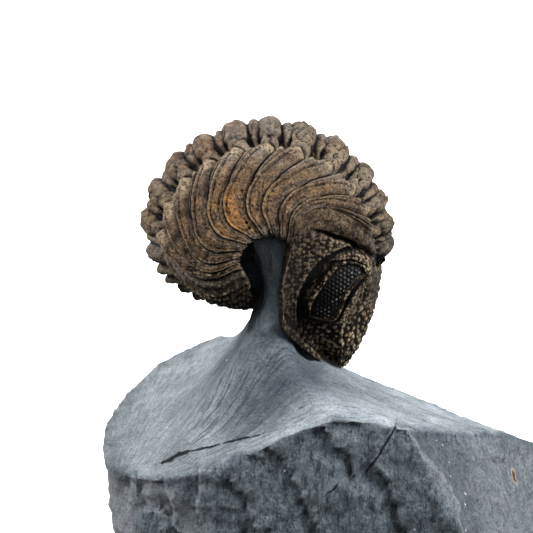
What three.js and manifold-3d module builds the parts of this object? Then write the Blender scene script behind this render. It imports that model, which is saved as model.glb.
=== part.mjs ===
// An enrolled phacopid trilobite, standing on its head on a block of the limestone it was found in.
// Millimetres, +Z up. The block's flat base lies on Z = 0 and the origin is the middle of that base.
//
// The animal is rolled round an axis parallel to Y, the curl axis, with its back outward. Its shell is
// made of hard plates: the head shield (cephalon), eleven thoracic segments and the tail shield
// (pygidium). The limestone fills the roll and comes down between head and tail as a pillar that
// widens into the block, so the rock is one solid.
import * as THREE from "three";
import { mergeVertices } from "three/addons/utils/BufferGeometryUtils.js";
import Module from "manifold-3d";

const wasm = await Module();
wasm.setup();

// ---- driving dimensions ------------------------------------------------------------------------

const CURL = new THREE.Vector3(-7.3, 0, 33.7); // a point on the curl axis
const PLATE = 1.2; // thickness of a shield
const SEGMENT_DEPTH = 1.7; // depth of a segment's inner side below the body's surface
const GAP = 0.32; // air left between neighbouring solids

// Places on the body are given as w, from -1 at the tip of one side lobe through 0 on the midline to 1
// at the other tip, and either as the angle of a line round the curl axis or as s along a shield.
const TIP = 1;

// Half of the body's cross-section, from the midline to the tip of a side lobe, as
// (distance from the curl axis, distance from the midline, backward sweep in degrees).
const SECTION = new THREE.CatmullRomCurve3(
  [
    new THREE.Vector3(13.6, 0.0, 0), // crest of the axial lobe
    new THREE.Vector3(13.3, 2.0, 0),
    new THREE.Vector3(12.5, 3.8, 0),
    new THREE.Vector3(11.2, 5.0, 0), // axial furrow
    new THREE.Vector3(10.9, 6.3, 4),
    new THREE.Vector3(10.0, 7.7, 12), // fulcrum, where the side lobe bends down
    new THREE.Vector3(8.7, 8.9, 23),
    new THREE.Vector3(7.2, 10.0, 35),
    new THREE.Vector3(5.2, 10.9, 40),
    new THREE.Vector3(2.9, 11.5, 26), // tip
  ],
  false,
  "catmullrom",
  0.5,
);
const FURROW_W = 3 / 9; // w of the axial furrow

// Angle of each plate's rear edge round the curl axis, from the head shield to the last segment.
const REAR_EDGES = [4, 14, 27, 42.5, 61, 79, 94.5, 112, 127.5, 143.5, 159, 174];
const SEGMENTS = REAR_EDGES.length - 1;
const HEAD_EDGE = REAR_EDGES[0];
const TAIL_EDGE = REAR_EDGES[SEGMENTS];

// Factor on the distance from the curl axis: [angle, factor]. The roll is widest over the last segments.
const ROLL = [
  [0, 1],
  [60, 1],
  [110, 1.01],
  [150, 1.035],
  [168, 1.02],
  [182, 0.96],
];
// Factor on the sweep: [angle, factor]. The side lobes fan out from the head's corners.
const SWEEP = [
  [4, 1.36],
  [14, 1.3],
  [27, 1.15],
  [42.5, 0.95],
  [61, 0.86],
  [79, 0.8],
  [94.5, 0.97],
  [112, 0.93],
  [130, 1],
  [145, 0.92],
  [160, 0.75],
  [176, 0.53],
];

// Relief along a segment, front to rear: (share of its length, height on the axis, height at the side).
const RELIEF = [
  [0.0, -1.0, -0.45], // front edge, under the plate ahead
  [0.14, -0.6, -0.3], // articulating half ring
  [0.28, -1.05, -0.15], // furrow behind it
  [0.42, -0.1, 0.0], // ring
  [1.0, -0.1, 0.0], // rear edge
];

// Midline and lateral margin of the two shields, from the edge they share with the thorax to the
// point where they end, measured from the curl axis.
const HEAD_MIDLINE = [
  [13.3, -0.4],
  [12.3, -2.0],
  [11.9, -4.0],
  [11.6, -6.0],
  [10.9, -8.2],
  [9.6, -11.1],
  [8.3, -12.9],
  [6.6, -13.4],
];
const HEAD_MARGIN = [
  [1.4, 11.9, -1.5],
  [1.3, 11.5, -4.4],
  [1.4, 10.4, -6.9],
  [3.0, 8.5, -9.0],
  [5.0, 5.4, -11.3],
  [6.6, 0, -13.4],
];
const TAIL_MIDLINE = [
  [-12.8, -1.0],
  [-11.6, -3.1],
  [-10.3, -4.4],
  [-8.2, -5.7],
  [-6.2, -6.5],
  [-4.0, -7.0],
  [-1.2, -7.1],
];
const TAIL_MARGIN = [
  [-2.1, 10.6, -2.0],
  [-1.8, 9.0, -3.6],
  [-1.4, 5.6, -5.3],
  [-1.2, 0, -7.1],
];
const HEAD_OPENING = 1.3; // x of the head shield's lowest margin, from the curl axis
const TAIL_OPENING = -1.2; // the same for the tail shield
const GLABELLA_WIDENING = 0.2; // how far in w the furrow beside the glabella swings out to the front
const WIDEST_S = 0.7; // s where it is furthest out
const TAIL_START = 0.05; // s where the tail shield starts, which leaves a gap to the last segment
const HEAD_THINNING = 0.4; // share of a shield's thickness that is lost at its rim
const TAIL_THINNING = 0.5;
const HEAD_FULLNESS = 0.5; // how soon the relief across a shield dies away towards its point
const TAIL_FULLNESS = 1.8;

const EYE = {
  at: [7.0, 8.6, -3.1], // centre, from the curl axis
  radii: [4.1, 1.5, 2.2], // along the eye, outward, across it
  tilt: 53, // of its long side above the horizontal, in degrees
};

// The block: corners of its upper rim and of its base, counter-clockwise seen from above.
const RIM = [
  [-24.9, 0, 14.0],
  [-24.8, -6, 13.2],
  [-24.0, -10, 12.0],
  [-21.5, -13, 12.0],
  [-18.9, -15, 12.2],
  [-14.0, -16, 13.1],
  [-8.0, -16.5, 16.0],
  [-4.2, -16.6, 17.9],
  [-0.1, -16.8, 19.1],
  [6.5, -17, 18.1],
  [12.0, -11, 16.1],
  [17.6, -5, 14.5],
  [21.2, 0, 12.1],
  [24.5, 6, 9.6],
  [23.0, 13, 8.4],
  [16.0, 18, 10.0],
  [6.0, 20.5, 13.6],
  [-5.0, 21, 18.2],
  [-13.0, 20, 19.5],
  [-19.8, 17, 16.9],
  [-23.2, 10, 15.0],
];
const RIM_HALF = [25, 20]; // about half the rim's length and width
const BASE = [
  [-22.6, 0],
  [-22.6, -6],
  [-22.2, -11],
  [-19.6, -14.6],
  [-17.8, -16.2],
  [-12.6, -17],
  [-6.6, -17.6],
  [-2.0, -17.8],
  [3.4, -18],
  [15.6, -18.4],
  [18.4, -12],
  [21.2, -6],
  [23.6, 0],
  [24.4, 6],
  [22.4, 12.6],
  [15.4, 16.8],
  [6.0, 19],
  [-5.0, 19.6],
  [-12.4, 18.4],
  [-18.2, 15.4],
  [-21.2, 8.8],
];
const PILLAR = {
  x: -6.95,
  halfX: 0.8, // at its waist
  halfY: 9,
  corner: 2.6, // 2 makes its outline an ellipse, more makes it squarer
};
const PILLAR_FLARE = [
  // [height, what is added to halfX], from its foot to its top inside the roll
  [25.6, 1.1],
  [27.7, 0.7],
  [29.7, 0],
  [32.4, 0.4],
  [34.6, 2.0],
  [36.0, 3.2],
];
const FOOT_SHARE = 0.25; // share of the rise from rim to pillar that is left to the pillar's steep foot

// How finely the solids are divided, as steps from tip to tip and steps along.
const GRID = {
  segment: 18,
  pygidium: [20, 7],
  cephalon: [24, 12],
  eye: [14, 8],
  headRock: [20, 10],
  tailRock: [16, 6],
  thoraxRock: [14, 14],
};
const SLOPE_SHARES = [0.3, 0.55, 0.72, 0.83, 0.9, 0.96, 1]; // rings of the block's top, rim to pillar
const RIM_STEPS = 2; // steps between two corners of the rim

const ROCK_COLOUR = 0x5b646b;
const ROCK_ROUGHNESS = 0.85;
const SHELL_COLOUR = 0x6e5a45;
const SHELL_ROUGHNESS = 0.6;

// ---- curves --------------------------------------------------------------------------------------

const radians = THREE.MathUtils.degToRad;

function smoothCurve(points) {
  return new THREE.CatmullRomCurve3(points, false, "catmullrom", 0.5);
}

// A table's factor at an angle, eased between its entries.
function factorAt(table, angle) {
  const after = table.findIndex(([a]) => a > angle);
  const next = after < 0 ? table.length - 1 : Math.max(1, after);
  const [[from, first], [to, last]] = [table[next - 1], table[next]];
  return THREE.MathUtils.lerp(first, last, THREE.MathUtils.smoothstep(angle, from, to));
}

// A point of the rolled body. The rear edge that passes through it lies at angle on the midline, and
// depth is how far below the outer surface it is, positive inward. slip moves it round the curl axis.
function bodyPoint(w, angle, depth, slip = 0) {
  const share = Math.min(Math.abs(w), TIP);
  const p = SECTION.getPoint(share);
  const t = SECTION.getTangent(share);
  const length = Math.hypot(t.x, t.y);
  const sweep = p.z * factorAt(SWEEP, angle);
  const radius = p.x * factorAt(ROLL, angle) - (depth * t.y) / length;
  const across = p.y + (depth * t.x) / length;
  const turn = radians(angle + sweep) + slip / radius;
  return new THREE.Vector3(
    CURL.x + radius * Math.cos(turn),
    Math.sign(w) * across,
    CURL.z + radius * Math.sin(turn),
  );
}

// A shield that starts on a rear edge of the body and narrows to a point: (w, s, depth) gives a point,
// s running from that edge (0) to the point (1).
function shield(edgeAngle, midline, margin, widening, fullness) {
  const fromCurl = (x, y, z) => new THREE.Vector3(CURL.x + x, y, CURL.z + z);
  const middle = smoothCurve([
    bodyPoint(0, edgeAngle, 0),
    ...midline.map(([x, z]) => fromCurl(x, 0, z)),
  ]);
  const side = smoothCurve([
    bodyPoint(TIP, edgeAngle, 0),
    ...margin.map(([x, y, z]) => fromCurl(x, y, z)),
  ]);
  const up = new THREE.Vector3(0, 0, 1);

  // The curve's point at s, pushed in: as the body's own edge at s = 0, straight up at the far end.
  const pushed = (curve, s, w, depth) => {
    const inward = bodyPoint(w, edgeAngle, 1).sub(bodyPoint(w, edgeAngle, 0));
    inward.lerp(up, s ** 3).normalize();
    return curve.getPoint(s).addScaledVector(inward, depth);
  };

  return (w, s, depth) => {
    const share = Math.abs(w);
    const furrow = FURROW_W + widening * THREE.MathUtils.smoothstep(s, 0, WIDEST_S);
    const inSection =
      share < furrow
        ? (share * FURROW_W) / furrow
        : 1 - ((1 - share) * (1 - FURROW_W)) / (1 - furrow);
    const residual = bodyPoint(inSection, edgeAngle, depth)
      .sub(bodyPoint(0, edgeAngle, depth).multiplyScalar(1 - inSection))
      .sub(bodyPoint(TIP, edgeAngle, depth).multiplyScalar(inSection));
    const swell = Math.max(0, 1 - s * s) ** fullness;
    const point = pushed(middle, s, 0, depth)
      .lerp(pushed(side, s, TIP, depth), share)
      .addScaledVector(residual, swell);
    point.y *= Math.sign(w);
    return point;
  };
}

const headPoint = shield(HEAD_EDGE, HEAD_MIDLINE, HEAD_MARGIN, GLABELLA_WIDENING, HEAD_FULLNESS);
const tailPoint = shield(TAIL_EDGE, TAIL_MIDLINE, TAIL_MARGIN, 0, TAIL_FULLNESS);

// ---- solids --------------------------------------------------------------------------------------

// An indexed geometry whose vertices are merged, without the triangles that this collapses.
function closedGeometry(positions, triangles) {
  const loose = new THREE.BufferGeometry()
    .setAttribute("position", new THREE.Float32BufferAttribute(positions, 3))
    .setIndex(triangles);
  const merged = mergeVertices(loose, 1e-3);
  const kept = [];
  const index = merged.index.array;
  for (let i = 0; i < index.length; i += 3) {
    const [a, b, c] = index.slice(i, i + 3);
    if (a !== b && b !== c && a !== c) kept.push(a, b, c);
  }
  return merged.setIndex(kept);
}

// A closed body between an outer and an inner sheet of points, each a function of (u, v) from 0 to 1.
function shellGeometry(outer, inner, columns, rows) {
  const positions = [];
  for (const sheet of [outer, inner])
    for (let j = 0; j <= rows; j++)
      for (let i = 0; i <= columns; i++)
        positions.push(...sheet(i / columns, j / rows).toArray());
  const out = (i, j) => j * (columns + 1) + i;
  const into = (i, j) => out(i, j) + (columns + 1) * (rows + 1);
  const triangles = [];
  const quad = (a, b, c, d) => triangles.push(a, b, c, a, c, d);
  for (let j = 0; j < rows; j++)
    for (let i = 0; i < columns; i++) {
      quad(out(i, j), out(i + 1, j), out(i + 1, j + 1), out(i, j + 1));
      quad(into(i, j), into(i, j + 1), into(i + 1, j + 1), into(i + 1, j));
    }
  for (let i = 0; i < columns; i++) {
    quad(out(i, 0), into(i, 0), into(i + 1, 0), out(i + 1, 0));
    quad(out(i, rows), out(i + 1, rows), into(i + 1, rows), into(i, rows));
  }
  for (let j = 0; j < rows; j++) {
    quad(out(0, j), out(0, j + 1), into(0, j + 1), into(0, j));
    quad(out(columns, j), into(columns, j), into(columns, j + 1), out(columns, j + 1));
  }
  return closedGeometry(positions, triangles);
}

// A closed body made of rings of points, each with the same number, and closed at both ends.
function ringedGeometry(rings) {
  const count = rings[0].length;
  const positions = rings.flat().flatMap((p) => p.toArray());
  const triangles = [];
  for (let j = 0; j + 1 < rings.length; j++)
    for (let i = 0; i < count; i++) {
      const a = j * count + i;
      const b = j * count + ((i + 1) % count);
      triangles.push(a, b, b + count, a, b + count, a + count);
    }
  return closedGeometry(positions, triangles);
}

function toSolid(geometry) {
  return new wasm.Manifold(
    new wasm.Mesh({
      numProp: 3,
      vertProperties: geometry.attributes.position.array,
      triVerts: new Uint32Array(geometry.index.array),
    }),
  );
}

function toGeometry(solid) {
  const { vertProperties, triVerts } = solid.getMesh();
  return new THREE.BufferGeometry()
    .setAttribute("position", new THREE.BufferAttribute(vertProperties, 3))
    .setIndex(new THREE.BufferAttribute(triVerts, 1));
}

const across = (u) => 2 * u - 1; // u from 0 to 1 as w from tip to tip

// One thoracic segment: a saddle-shaped plate from tip to tip over the back.
function segmentGeometry(number) {
  const [from, to] = [REAR_EDGES[number - 1], REAR_EDGES[number]];
  const sheet = (depthOf) => (u, v) => {
    const w = across(u);
    const [share, onAxis, atSide] = RELIEF[Math.round(v * (RELIEF.length - 1))];
    const sideness = THREE.MathUtils.smoothstep(Math.abs(w), FURROW_W * 0.8, FURROW_W);
    const height = THREE.MathUtils.lerp(onAxis, atSide, sideness);
    return bodyPoint(w, THREE.MathUtils.lerp(from, to, share), depthOf(height), GAP * (1 - share));
  };
  const outer = sheet((height) => -height);
  const inner = sheet(() => SEGMENT_DEPTH);
  return shellGeometry(outer, inner, GRID.segment, RELIEF.length - 1);
}

// The tail shield, a half dome that starts just behind the last segment and thins towards its rim.
function pygidiumGeometry() {
  const along = (v) => THREE.MathUtils.lerp(TAIL_START, 1, v);
  const thickness = (w, v) => PLATE * (1 - TAIL_THINNING * Math.max(w * w, v) ** 2);
  return shellGeometry(
    (u, v) => tailPoint(across(u), along(v), 0),
    (u, v) => tailPoint(across(u), along(v), thickness(across(u), v)),
    ...GRID.pygidium,
  );
}

function eyeGeometry(side) {
  const eye = new THREE.SphereGeometry(1, ...GRID.eye);
  eye.deleteAttribute("normal").deleteAttribute("uv");
  const [along, outward, acrossEye] = EYE.radii;
  eye.scale(along, outward, acrossEye);
  eye.rotateY(-radians(EYE.tilt));
  eye.translate(CURL.x + EYE.at[0], side * EYE.at[1], CURL.z + EYE.at[2]);
  const merged = mergeVertices(eye, 1e-3);
  return closedGeometry(Array.from(merged.attributes.position.array), Array.from(merged.index.array));
}

// The head shield, with its two eyes.
function cephalonGeometry() {
  const thickness = (w, s) => PLATE * (1 - HEAD_THINNING * Math.max(w * w, s) ** 2);
  const dome = shellGeometry(
    (u, v) => headPoint(across(u), 1 - v, 0),
    (u, v) => headPoint(across(u), 1 - v, thickness(across(u), 1 - v)),
    ...GRID.cephalon,
  );
  return toGeometry(
    toSolid(dome)
      .add(toSolid(eyeGeometry(-1)))
      .add(toSolid(eyeGeometry(1))),
  );
}

// A solid that fills a shield, from a sheet at a depth to the upright plane x. In w it stops at reach,
// and in s it runs from start to end.
function shieldFilling(point, { depth, x, reach, start, end, grid, flip }) {
  const s = (v) => THREE.MathUtils.lerp(start, end, flip ? 1 - v : v);
  const sheet = (u, v) => point(across(u) * reach, s(v), depth);
  const plane = (u, v) => sheet(u, v).setX(x);
  return toSolid(shellGeometry(sheet, plane, ...grid));
}

// The rock inside the rolled thorax, a wheel whose hub lies close to the curl axis.
function thoraxFilling() {
  const depth = SEGMENT_DEPTH + 2 * GAP;
  const reach = 0.86; // in w, so that the rock stops short of the tips
  const hub = 0.9; // share of the way from the plates to the curl axis
  const angle = (v) => THREE.MathUtils.lerp(HEAD_EDGE - 4, TAIL_EDGE - 2, v);
  const rim = (u, v) => bodyPoint(across(u) * reach, angle(v), depth);
  const axle = (u, v) => {
    const point = rim(0, v).lerp(rim(1, v), u);
    const onAxis = new THREE.Vector3(CURL.x, point.y, CURL.z);
    return point.lerp(onAxis, hub);
  };
  return toSolid(shellGeometry(rim, axle, ...GRID.thoraxRock));
}

// The block with its pillar, as rings from the middle of the base to the middle of the pillar's top.
function blockSolid() {
  const ring = (place) =>
    RIM.flatMap((_, k) =>
      Array.from({ length: RIM_STEPS }, (_, i) => place(k, (k + 1) % RIM.length, i / RIM_STEPS)),
    );
  const rimAt = (k, next, t) =>
    new THREE.Vector3(...RIM[k]).lerp(new THREE.Vector3(...RIM[next]), t);
  const baseAt = (k, next, t) =>
    new THREE.Vector3(...BASE[k], 0).lerp(new THREE.Vector3(...BASE[next], 0), t);
  const pillarAt = (rim, [z, flare]) => {
    const angle = Math.atan2(rim.y / RIM_HALF[1], (rim.x - PILLAR.x) / RIM_HALF[0]);
    const [c, s] = [Math.cos(angle), Math.sin(angle)];
    const r = (Math.abs(c) ** PILLAR.corner + Math.abs(s) ** PILLAR.corner) ** (-1 / PILLAR.corner);
    return new THREE.Vector3(PILLAR.x + (PILLAR.halfX + flare) * r * c, PILLAR.halfY * r * s, z);
  };
  const [foot, ...shaft] = PILLAR_FLARE;
  const [top] = PILLAR_FLARE.at(-1);
  const rise = (share) => (1 - FOOT_SHARE) * share ** 1.3 + FOOT_SHARE * share ** 6;
  const wall = (height) => (k, next, t) =>
    baseAt(k, next, t).lerp(rimAt(k, next, t), height);
  const slope = (share) => (k, next, t) => {
    const rim = rimAt(k, next, t);
    const end = pillarAt(rim, foot);
    const point = rim.clone().lerp(end, share);
    point.z = THREE.MathUtils.lerp(rim.z, end.z, rise(share));
    return point;
  };
  const upright = (place) => (k, next, t) => pillarAt(rimAt(k, next, t), place);
  const middle = (z) => () => new THREE.Vector3(PILLAR.x, 0, z);
  return toSolid(
    ringedGeometry([
      ring(middle(0)),
      ring(wall(0)),
      ring(wall(0.5)),
      ring(wall(1)),
      ...SLOPE_SHARES.map((share) => ring(slope(share))),
      ...shaft.map((place) => ring(upright(place))),
      ring(middle(top)),
    ]),
  );
}

// The block with its pillar, less room for the two shields, and the rock that fills shields and thorax.
function matrixGeometry() {
  const head = { grid: GRID.headRock, flip: true };
  const tail = { grid: GRID.tailRock, flip: false };
  const room = { depth: -GAP, reach: TIP, start: 0, end: 1 }; // it stands off from the outer surface
  const core = { depth: PLATE + 2 * GAP, x: PILLAR.x, start: 0.15 };
  const headRoom = { ...head, ...room, x: CURL.x + HEAD_OPENING - GAP };
  const tailRoom = { ...tail, ...room, x: CURL.x + TAIL_OPENING + GAP };
  const headCore = { ...head, ...core, reach: 0.85, end: 0.45 };
  const tailCore = { ...tail, ...core, reach: 0.7, end: 0.25 };
  return toGeometry(
    blockSolid()
      .subtract(shieldFilling(headPoint, headRoom))
      .subtract(shieldFilling(tailPoint, tailRoom))
      .add(shieldFilling(headPoint, headCore))
      .add(shieldFilling(tailPoint, tailCore))
      .add(thoraxFilling()),
  );
}

// ---- the model -----------------------------------------------------------------------------------

function mesh(name, geometry, color, roughness) {
  const material = new THREE.MeshStandardMaterial({ color, roughness, metalness: 0 });
  const made = new THREE.Mesh(geometry, material);
  made.name = name;
  return made;
}

const model = new THREE.Group();
model.add(mesh("matrix_rock", matrixGeometry(), ROCK_COLOUR, ROCK_ROUGHNESS));

const trilobite = new THREE.Group();
trilobite.add(mesh("cephalon", cephalonGeometry(), SHELL_COLOUR, SHELL_ROUGHNESS));
for (let number = 1; number <= SEGMENTS; number++) {
  const name = "thoracic_segment_" + String(number).padStart(2, "0");
  trilobite.add(mesh(name, segmentGeometry(number), SHELL_COLOUR, SHELL_ROUGHNESS));
}
trilobite.add(mesh("pygidium", pygidiumGeometry(), SHELL_COLOUR, SHELL_ROUGHNESS));
model.add(trilobite);

// The origin is the middle of the base.
const box = new THREE.Box3().setFromObject(model);
const middle = box.getCenter(new THREE.Vector3());
model.position.set(-middle.x, -middle.y, 0);

export default model;
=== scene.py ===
import math

import bpy
import numpy as np
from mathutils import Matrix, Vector


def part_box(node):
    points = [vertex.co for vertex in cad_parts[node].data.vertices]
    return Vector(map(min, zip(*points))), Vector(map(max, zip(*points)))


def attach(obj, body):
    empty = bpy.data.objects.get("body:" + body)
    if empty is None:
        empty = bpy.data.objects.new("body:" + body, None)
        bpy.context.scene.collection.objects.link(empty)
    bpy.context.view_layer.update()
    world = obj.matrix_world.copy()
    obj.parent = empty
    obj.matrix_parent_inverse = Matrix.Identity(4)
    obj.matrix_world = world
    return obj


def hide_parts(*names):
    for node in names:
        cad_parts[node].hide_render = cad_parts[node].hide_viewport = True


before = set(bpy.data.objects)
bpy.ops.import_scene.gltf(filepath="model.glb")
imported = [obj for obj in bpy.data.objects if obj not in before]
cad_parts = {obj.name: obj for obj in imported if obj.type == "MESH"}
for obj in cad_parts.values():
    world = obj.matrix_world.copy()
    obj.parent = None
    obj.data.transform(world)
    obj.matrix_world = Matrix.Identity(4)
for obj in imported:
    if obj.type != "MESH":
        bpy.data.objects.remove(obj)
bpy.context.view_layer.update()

MM = 0.001

# ---- driving dimensions ----

CURL = np.array([-7.3, 0.0, 33.7])  # a point on the curl axis
ROCK_CORNER = np.array([-24.9, -18.4, 0.0])  # lowest corner of the block's box
SHIFT = np.array(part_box("matrix_rock")[0]) / MM - ROCK_CORNER  # from these coordinates to the frame's

# Half of the body's cross-section, from the midline to the tip of a side lobe, as
# (distance from the curl axis, distance from the midline, backward sweep in degrees).
SECTION = [
    (13.6, 0.0, 0), (13.3, 2.0, 0), (12.5, 3.8, 0), (11.2, 5.0, 0), (10.9, 6.3, 4),
    (10.0, 7.7, 12), (8.7, 8.9, 23), (7.2, 10.0, 35), (5.2, 10.9, 40), (2.9, 11.5, 26),
]
FURROW = 3 / 9  # share of the way from midline to tip where the axial furrow runs

REAR_EDGES = [4, 14, 27, 42.5, 61, 79, 94.5, 112, 127.5, 143.5, 159, 174]  # angles round the curl axis
SEGMENTS = len(REAR_EDGES) - 1
HEAD_EDGE = REAR_EDGES[0]
TAIL_EDGE = REAR_EDGES[-1]
ROLL = [(0, 1), (60, 1), (110, 1.01), (150, 1.035), (168, 1.02), (182, 0.96)]  # factor on the distance
SWEEP = [  # factor on the sweep, by angle
    (4, 1.36), (14, 1.03), (27, 0.92), (42.5, 0.87), (61, 0.86), (79, 0.8),
    (94.5, 0.97), (112, 0.93), (130, 1), (145, 0.92), (160, 0.75), (176, 0.53),
]

# The shields, from the curl axis: their midlines as (x, z), from the edge shared with the thorax to the
# far end, and their side margins as (x, y, z).
HEAD_MIDLINE = [
    (13.3, -0.4), (12.3, -2.0), (11.9, -4.0), (11.6, -6.0),
    (10.9, -8.2), (9.6, -11.1), (8.3, -12.9), (6.6, -13.4),
]
HEAD_MARGIN = [
    (1.4, 11.2, -1.5), (1.3, 11.0, -4.4), (1.4, 10.4, -6.9),
    (3.0, 8.5, -9.0), (5.0, 5.4, -11.3), (6.6, 0, -13.4),
]
TAIL_MIDLINE = [
    (-12.8, -1.0), (-11.6, -3.1), (-10.3, -4.4), (-8.2, -5.7), (-6.2, -6.5), (-4.0, -7.0), (-1.2, -7.1),
]
TAIL_MARGIN = [(-2.1, 10.6, -2.0), (-1.8, 9.0, -3.6), (-1.4, 5.6, -5.3), (-1.2, 0, -7.1)]
# The head's rows run against the thorax's, so its outside is on the other hand.
HEAD = dict(edge=HEAD_EDGE, midline=HEAD_MIDLINE, margin=HEAD_MARGIN, widening=0.2, fullness=0.5, hand=-1)
TAIL = dict(edge=TAIL_EDGE, midline=TAIL_MIDLINE, margin=TAIL_MARGIN, widening=0.0, fullness=1.8, hand=1)
WIDEST_S = 0.7  # share of a shield's length where its axial lobe has widened fully

EYE_CENTRE = (7.0, 9.9, -3.1)  # from the curl axis
EYE_TILT = math.radians(53)  # of its long side above the horizontal
LENS_FIELD = [  # outline of an eye's lenses, as (along, across), across growing towards the midline
    (-3.8, -0.45), (-2.6, -1.05), (-1.0, -1.3), (0.75, -1.38), (1.9, -1.25),
    (2.75, -0.85), (3.25, -0.1), (3.4, 0.8), (3.05, 1.35), (2.3, 0.95),
    (1.1, 0.82), (-0.2, 0.88), (-1.5, 1.35), (-2.4, 1.5), (-3.3, 0.75),
]

# The block's rim and, point for point, the outline of its base.
RIM = [
    (-24.9, 0, 14.0), (-24.8, -6, 13.2), (-24.0, -10, 12.0), (-21.5, -13, 12.0), (-18.9, -15, 12.2),
    (-14.0, -16, 13.1), (-8.0, -16.5, 16.0), (-4.2, -16.6, 17.9), (-0.1, -16.8, 19.1), (6.5, -17, 18.1),
    (12.0, -11, 16.1), (17.6, -5, 14.5), (21.2, 0, 12.1), (24.5, 6, 9.6), (23.0, 13, 8.4),
    (16.0, 18, 10.0), (6.0, 20.5, 13.6), (-5.0, 21, 18.2), (-13.0, 20, 19.5), (-19.8, 17, 16.9),
    (-23.2, 10, 15.0),
]
BASE = [
    (-22.6, 0), (-22.6, -6), (-22.2, -11), (-19.6, -14.6), (-17.8, -16.2),
    (-12.6, -17), (-6.6, -17.6), (-2.0, -17.8), (3.4, -18), (15.6, -18.4),
    (18.4, -12), (21.2, -6), (23.6, 0), (24.4, 6), (22.4, 12.6),
    (15.4, 16.8), (6.0, 19), (-5.0, 19.6), (-12.4, 18.4), (-18.2, 15.4),
    (-21.2, 8.8),
]
RIM_STEPS = 8  # points on each side of these outlines
RIM_HALF = (25, 20)  # about half of the block's width and depth
PILLAR = dict(x=-6.95, half_x=0.8, half_y=9, foot=25.6, top=36.0, corner=2.6, foot_flare=1.1, top_flare=3.2)
FOOT_SHARE = 0.25  # share of the slope's rise that comes close to the pillar's foot
WAIST = [(27.7, 0.7), (29.7, 0.0), (30.8, 0.15), (32.1, 0.6), (33.6, 1.15), (34.6, 2.0)]  # (height, widening)

# ---- curves and noise ----


def lerp(a, b, t):
    """From a at t = 0 to b at t = 1, straight."""
    return a + (b - a) * t


def smooth(x, start, end):
    """0 before start, 1 after end, eased between."""
    t = np.clip((x - start) / (end - start), 0, 1)
    return t * t * (3 - 2 * t)


def ramp(x, start, end, low, high):
    """low before start, high after end, eased between."""
    return lerp(low, high, smooth(x, start, end))


def hump(x, centre, half):
    """1 at centre, falling smoothly to 0 at half to either side."""
    return np.clip(1 - ((x - centre) / half) ** 2, 0, 1) ** 2


def eased(x, table):
    """The table's value at x, eased between its entries."""
    keys = np.array([k for k, _ in table], float)
    values = np.array([v for _, v in table], float)
    i = np.clip(np.searchsorted(keys, x, side="right") - 1, 0, len(keys) - 2)
    return lerp(values[i], values[i + 1], smooth(x, keys[i], keys[i + 1]))


def curve(points, t):
    """The smooth curve through points, at t from 0 to 1, and its direction."""
    p = np.array(points, float)
    p = np.vstack([2 * p[0] - p[1], p, 2 * p[-1] - p[-2]])
    x = np.clip(t, 0, 1) * (len(points) - 1)
    i = np.minimum(x.astype(int), len(points) - 2)
    f = (x - i)[..., None]
    before, a, b, after = (p[i + k] for k in range(4))
    start, end = (b - before) / 2, (after - a) / 2
    cubic = 2 * a - 2 * b + start + end
    square = -3 * a + 3 * b - 2 * start - end
    at = ((cubic * f + square) * f + start) * f + a
    along = (3 * cubic * f + 2 * square) * f + start
    return at, along


def hashed(cell, seed):
    """A number from 0 to 1 for each whole-number cell, scattered but the same each run."""
    c = cell.astype(np.int64).astype(np.uint32)
    factors = np.array([374761393, 668265263, 2246822519], np.uint32)
    h = (c * factors).sum(-1, dtype=np.uint32) + np.uint32(seed * 3266489917 % 2**32)
    h = (h ^ (h >> np.uint32(15))) * np.uint32(2246822519)
    h = (h ^ (h >> np.uint32(13))) * np.uint32(3266489917)
    return (h ^ (h >> np.uint32(16))) / 2.0**32


def noise(points, size, seed, octaves=1):
    """Smooth noise from about -1 to 1, with features about size across and finer ones in it."""
    total, weight, norm = 0.0, 1.0, 0.0
    for octave in range(octaves):
        p = points * (2**octave / size)
        base = np.floor(p)
        f = p - base
        f = f * f * (3 - 2 * f)
        value = 0.0
        for corner in np.ndindex(2, 2, 2):
            share = np.prod(np.where(corner, f, 1 - f), axis=-1)
            value = value + share * hashed(base + np.array(corner), seed + 17 * octave)
        total = total + weight * (2 * value - 1)
        norm += weight
        weight /= 2
    return total / norm


def scatter(points, size, seed):
    """The distance to the nearest of some scattered spots, in sizes, and a random number for that spot."""
    p = points / size
    base = np.floor(p)
    nearest = np.full(p.shape[:-1], 9.0)
    number = np.zeros(p.shape[:-1])
    for step in np.ndindex(3, 3, 3):
        cell = base + np.array(step) - 1
        spot = cell + 0.2 + 0.6 * np.stack([hashed(cell, seed + k) for k in range(3)], -1)
        distance = np.linalg.norm(p - spot, axis=-1)
        closer = distance < nearest
        nearest = np.where(closer, distance, nearest)
        number = np.where(closer, hashed(cell, seed + 3), number)
    return nearest, number


def grains(points, size, seed, cover):
    """Round grains about size apart, from 0 between them to 1 on top."""
    distance, number = scatter(points, size, seed)
    radius = cover * (0.7 + 0.6 * number)
    return np.sqrt(np.clip(1 - (distance / radius) ** 2, 0, 1))


def blurred(grid, steps):
    """The grid smoothed over about that many cells."""
    for axis in (0, 1):
        for _ in range(steps):
            padded = np.concatenate([grid.take([0], axis), grid, grid.take([-1], axis)], axis)
            n = grid.shape[axis]
            grid = sum(padded.take(range(k, k + n), axis) for k in range(3)) / 3
    return grid


# ---- the body's shape ----


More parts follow.
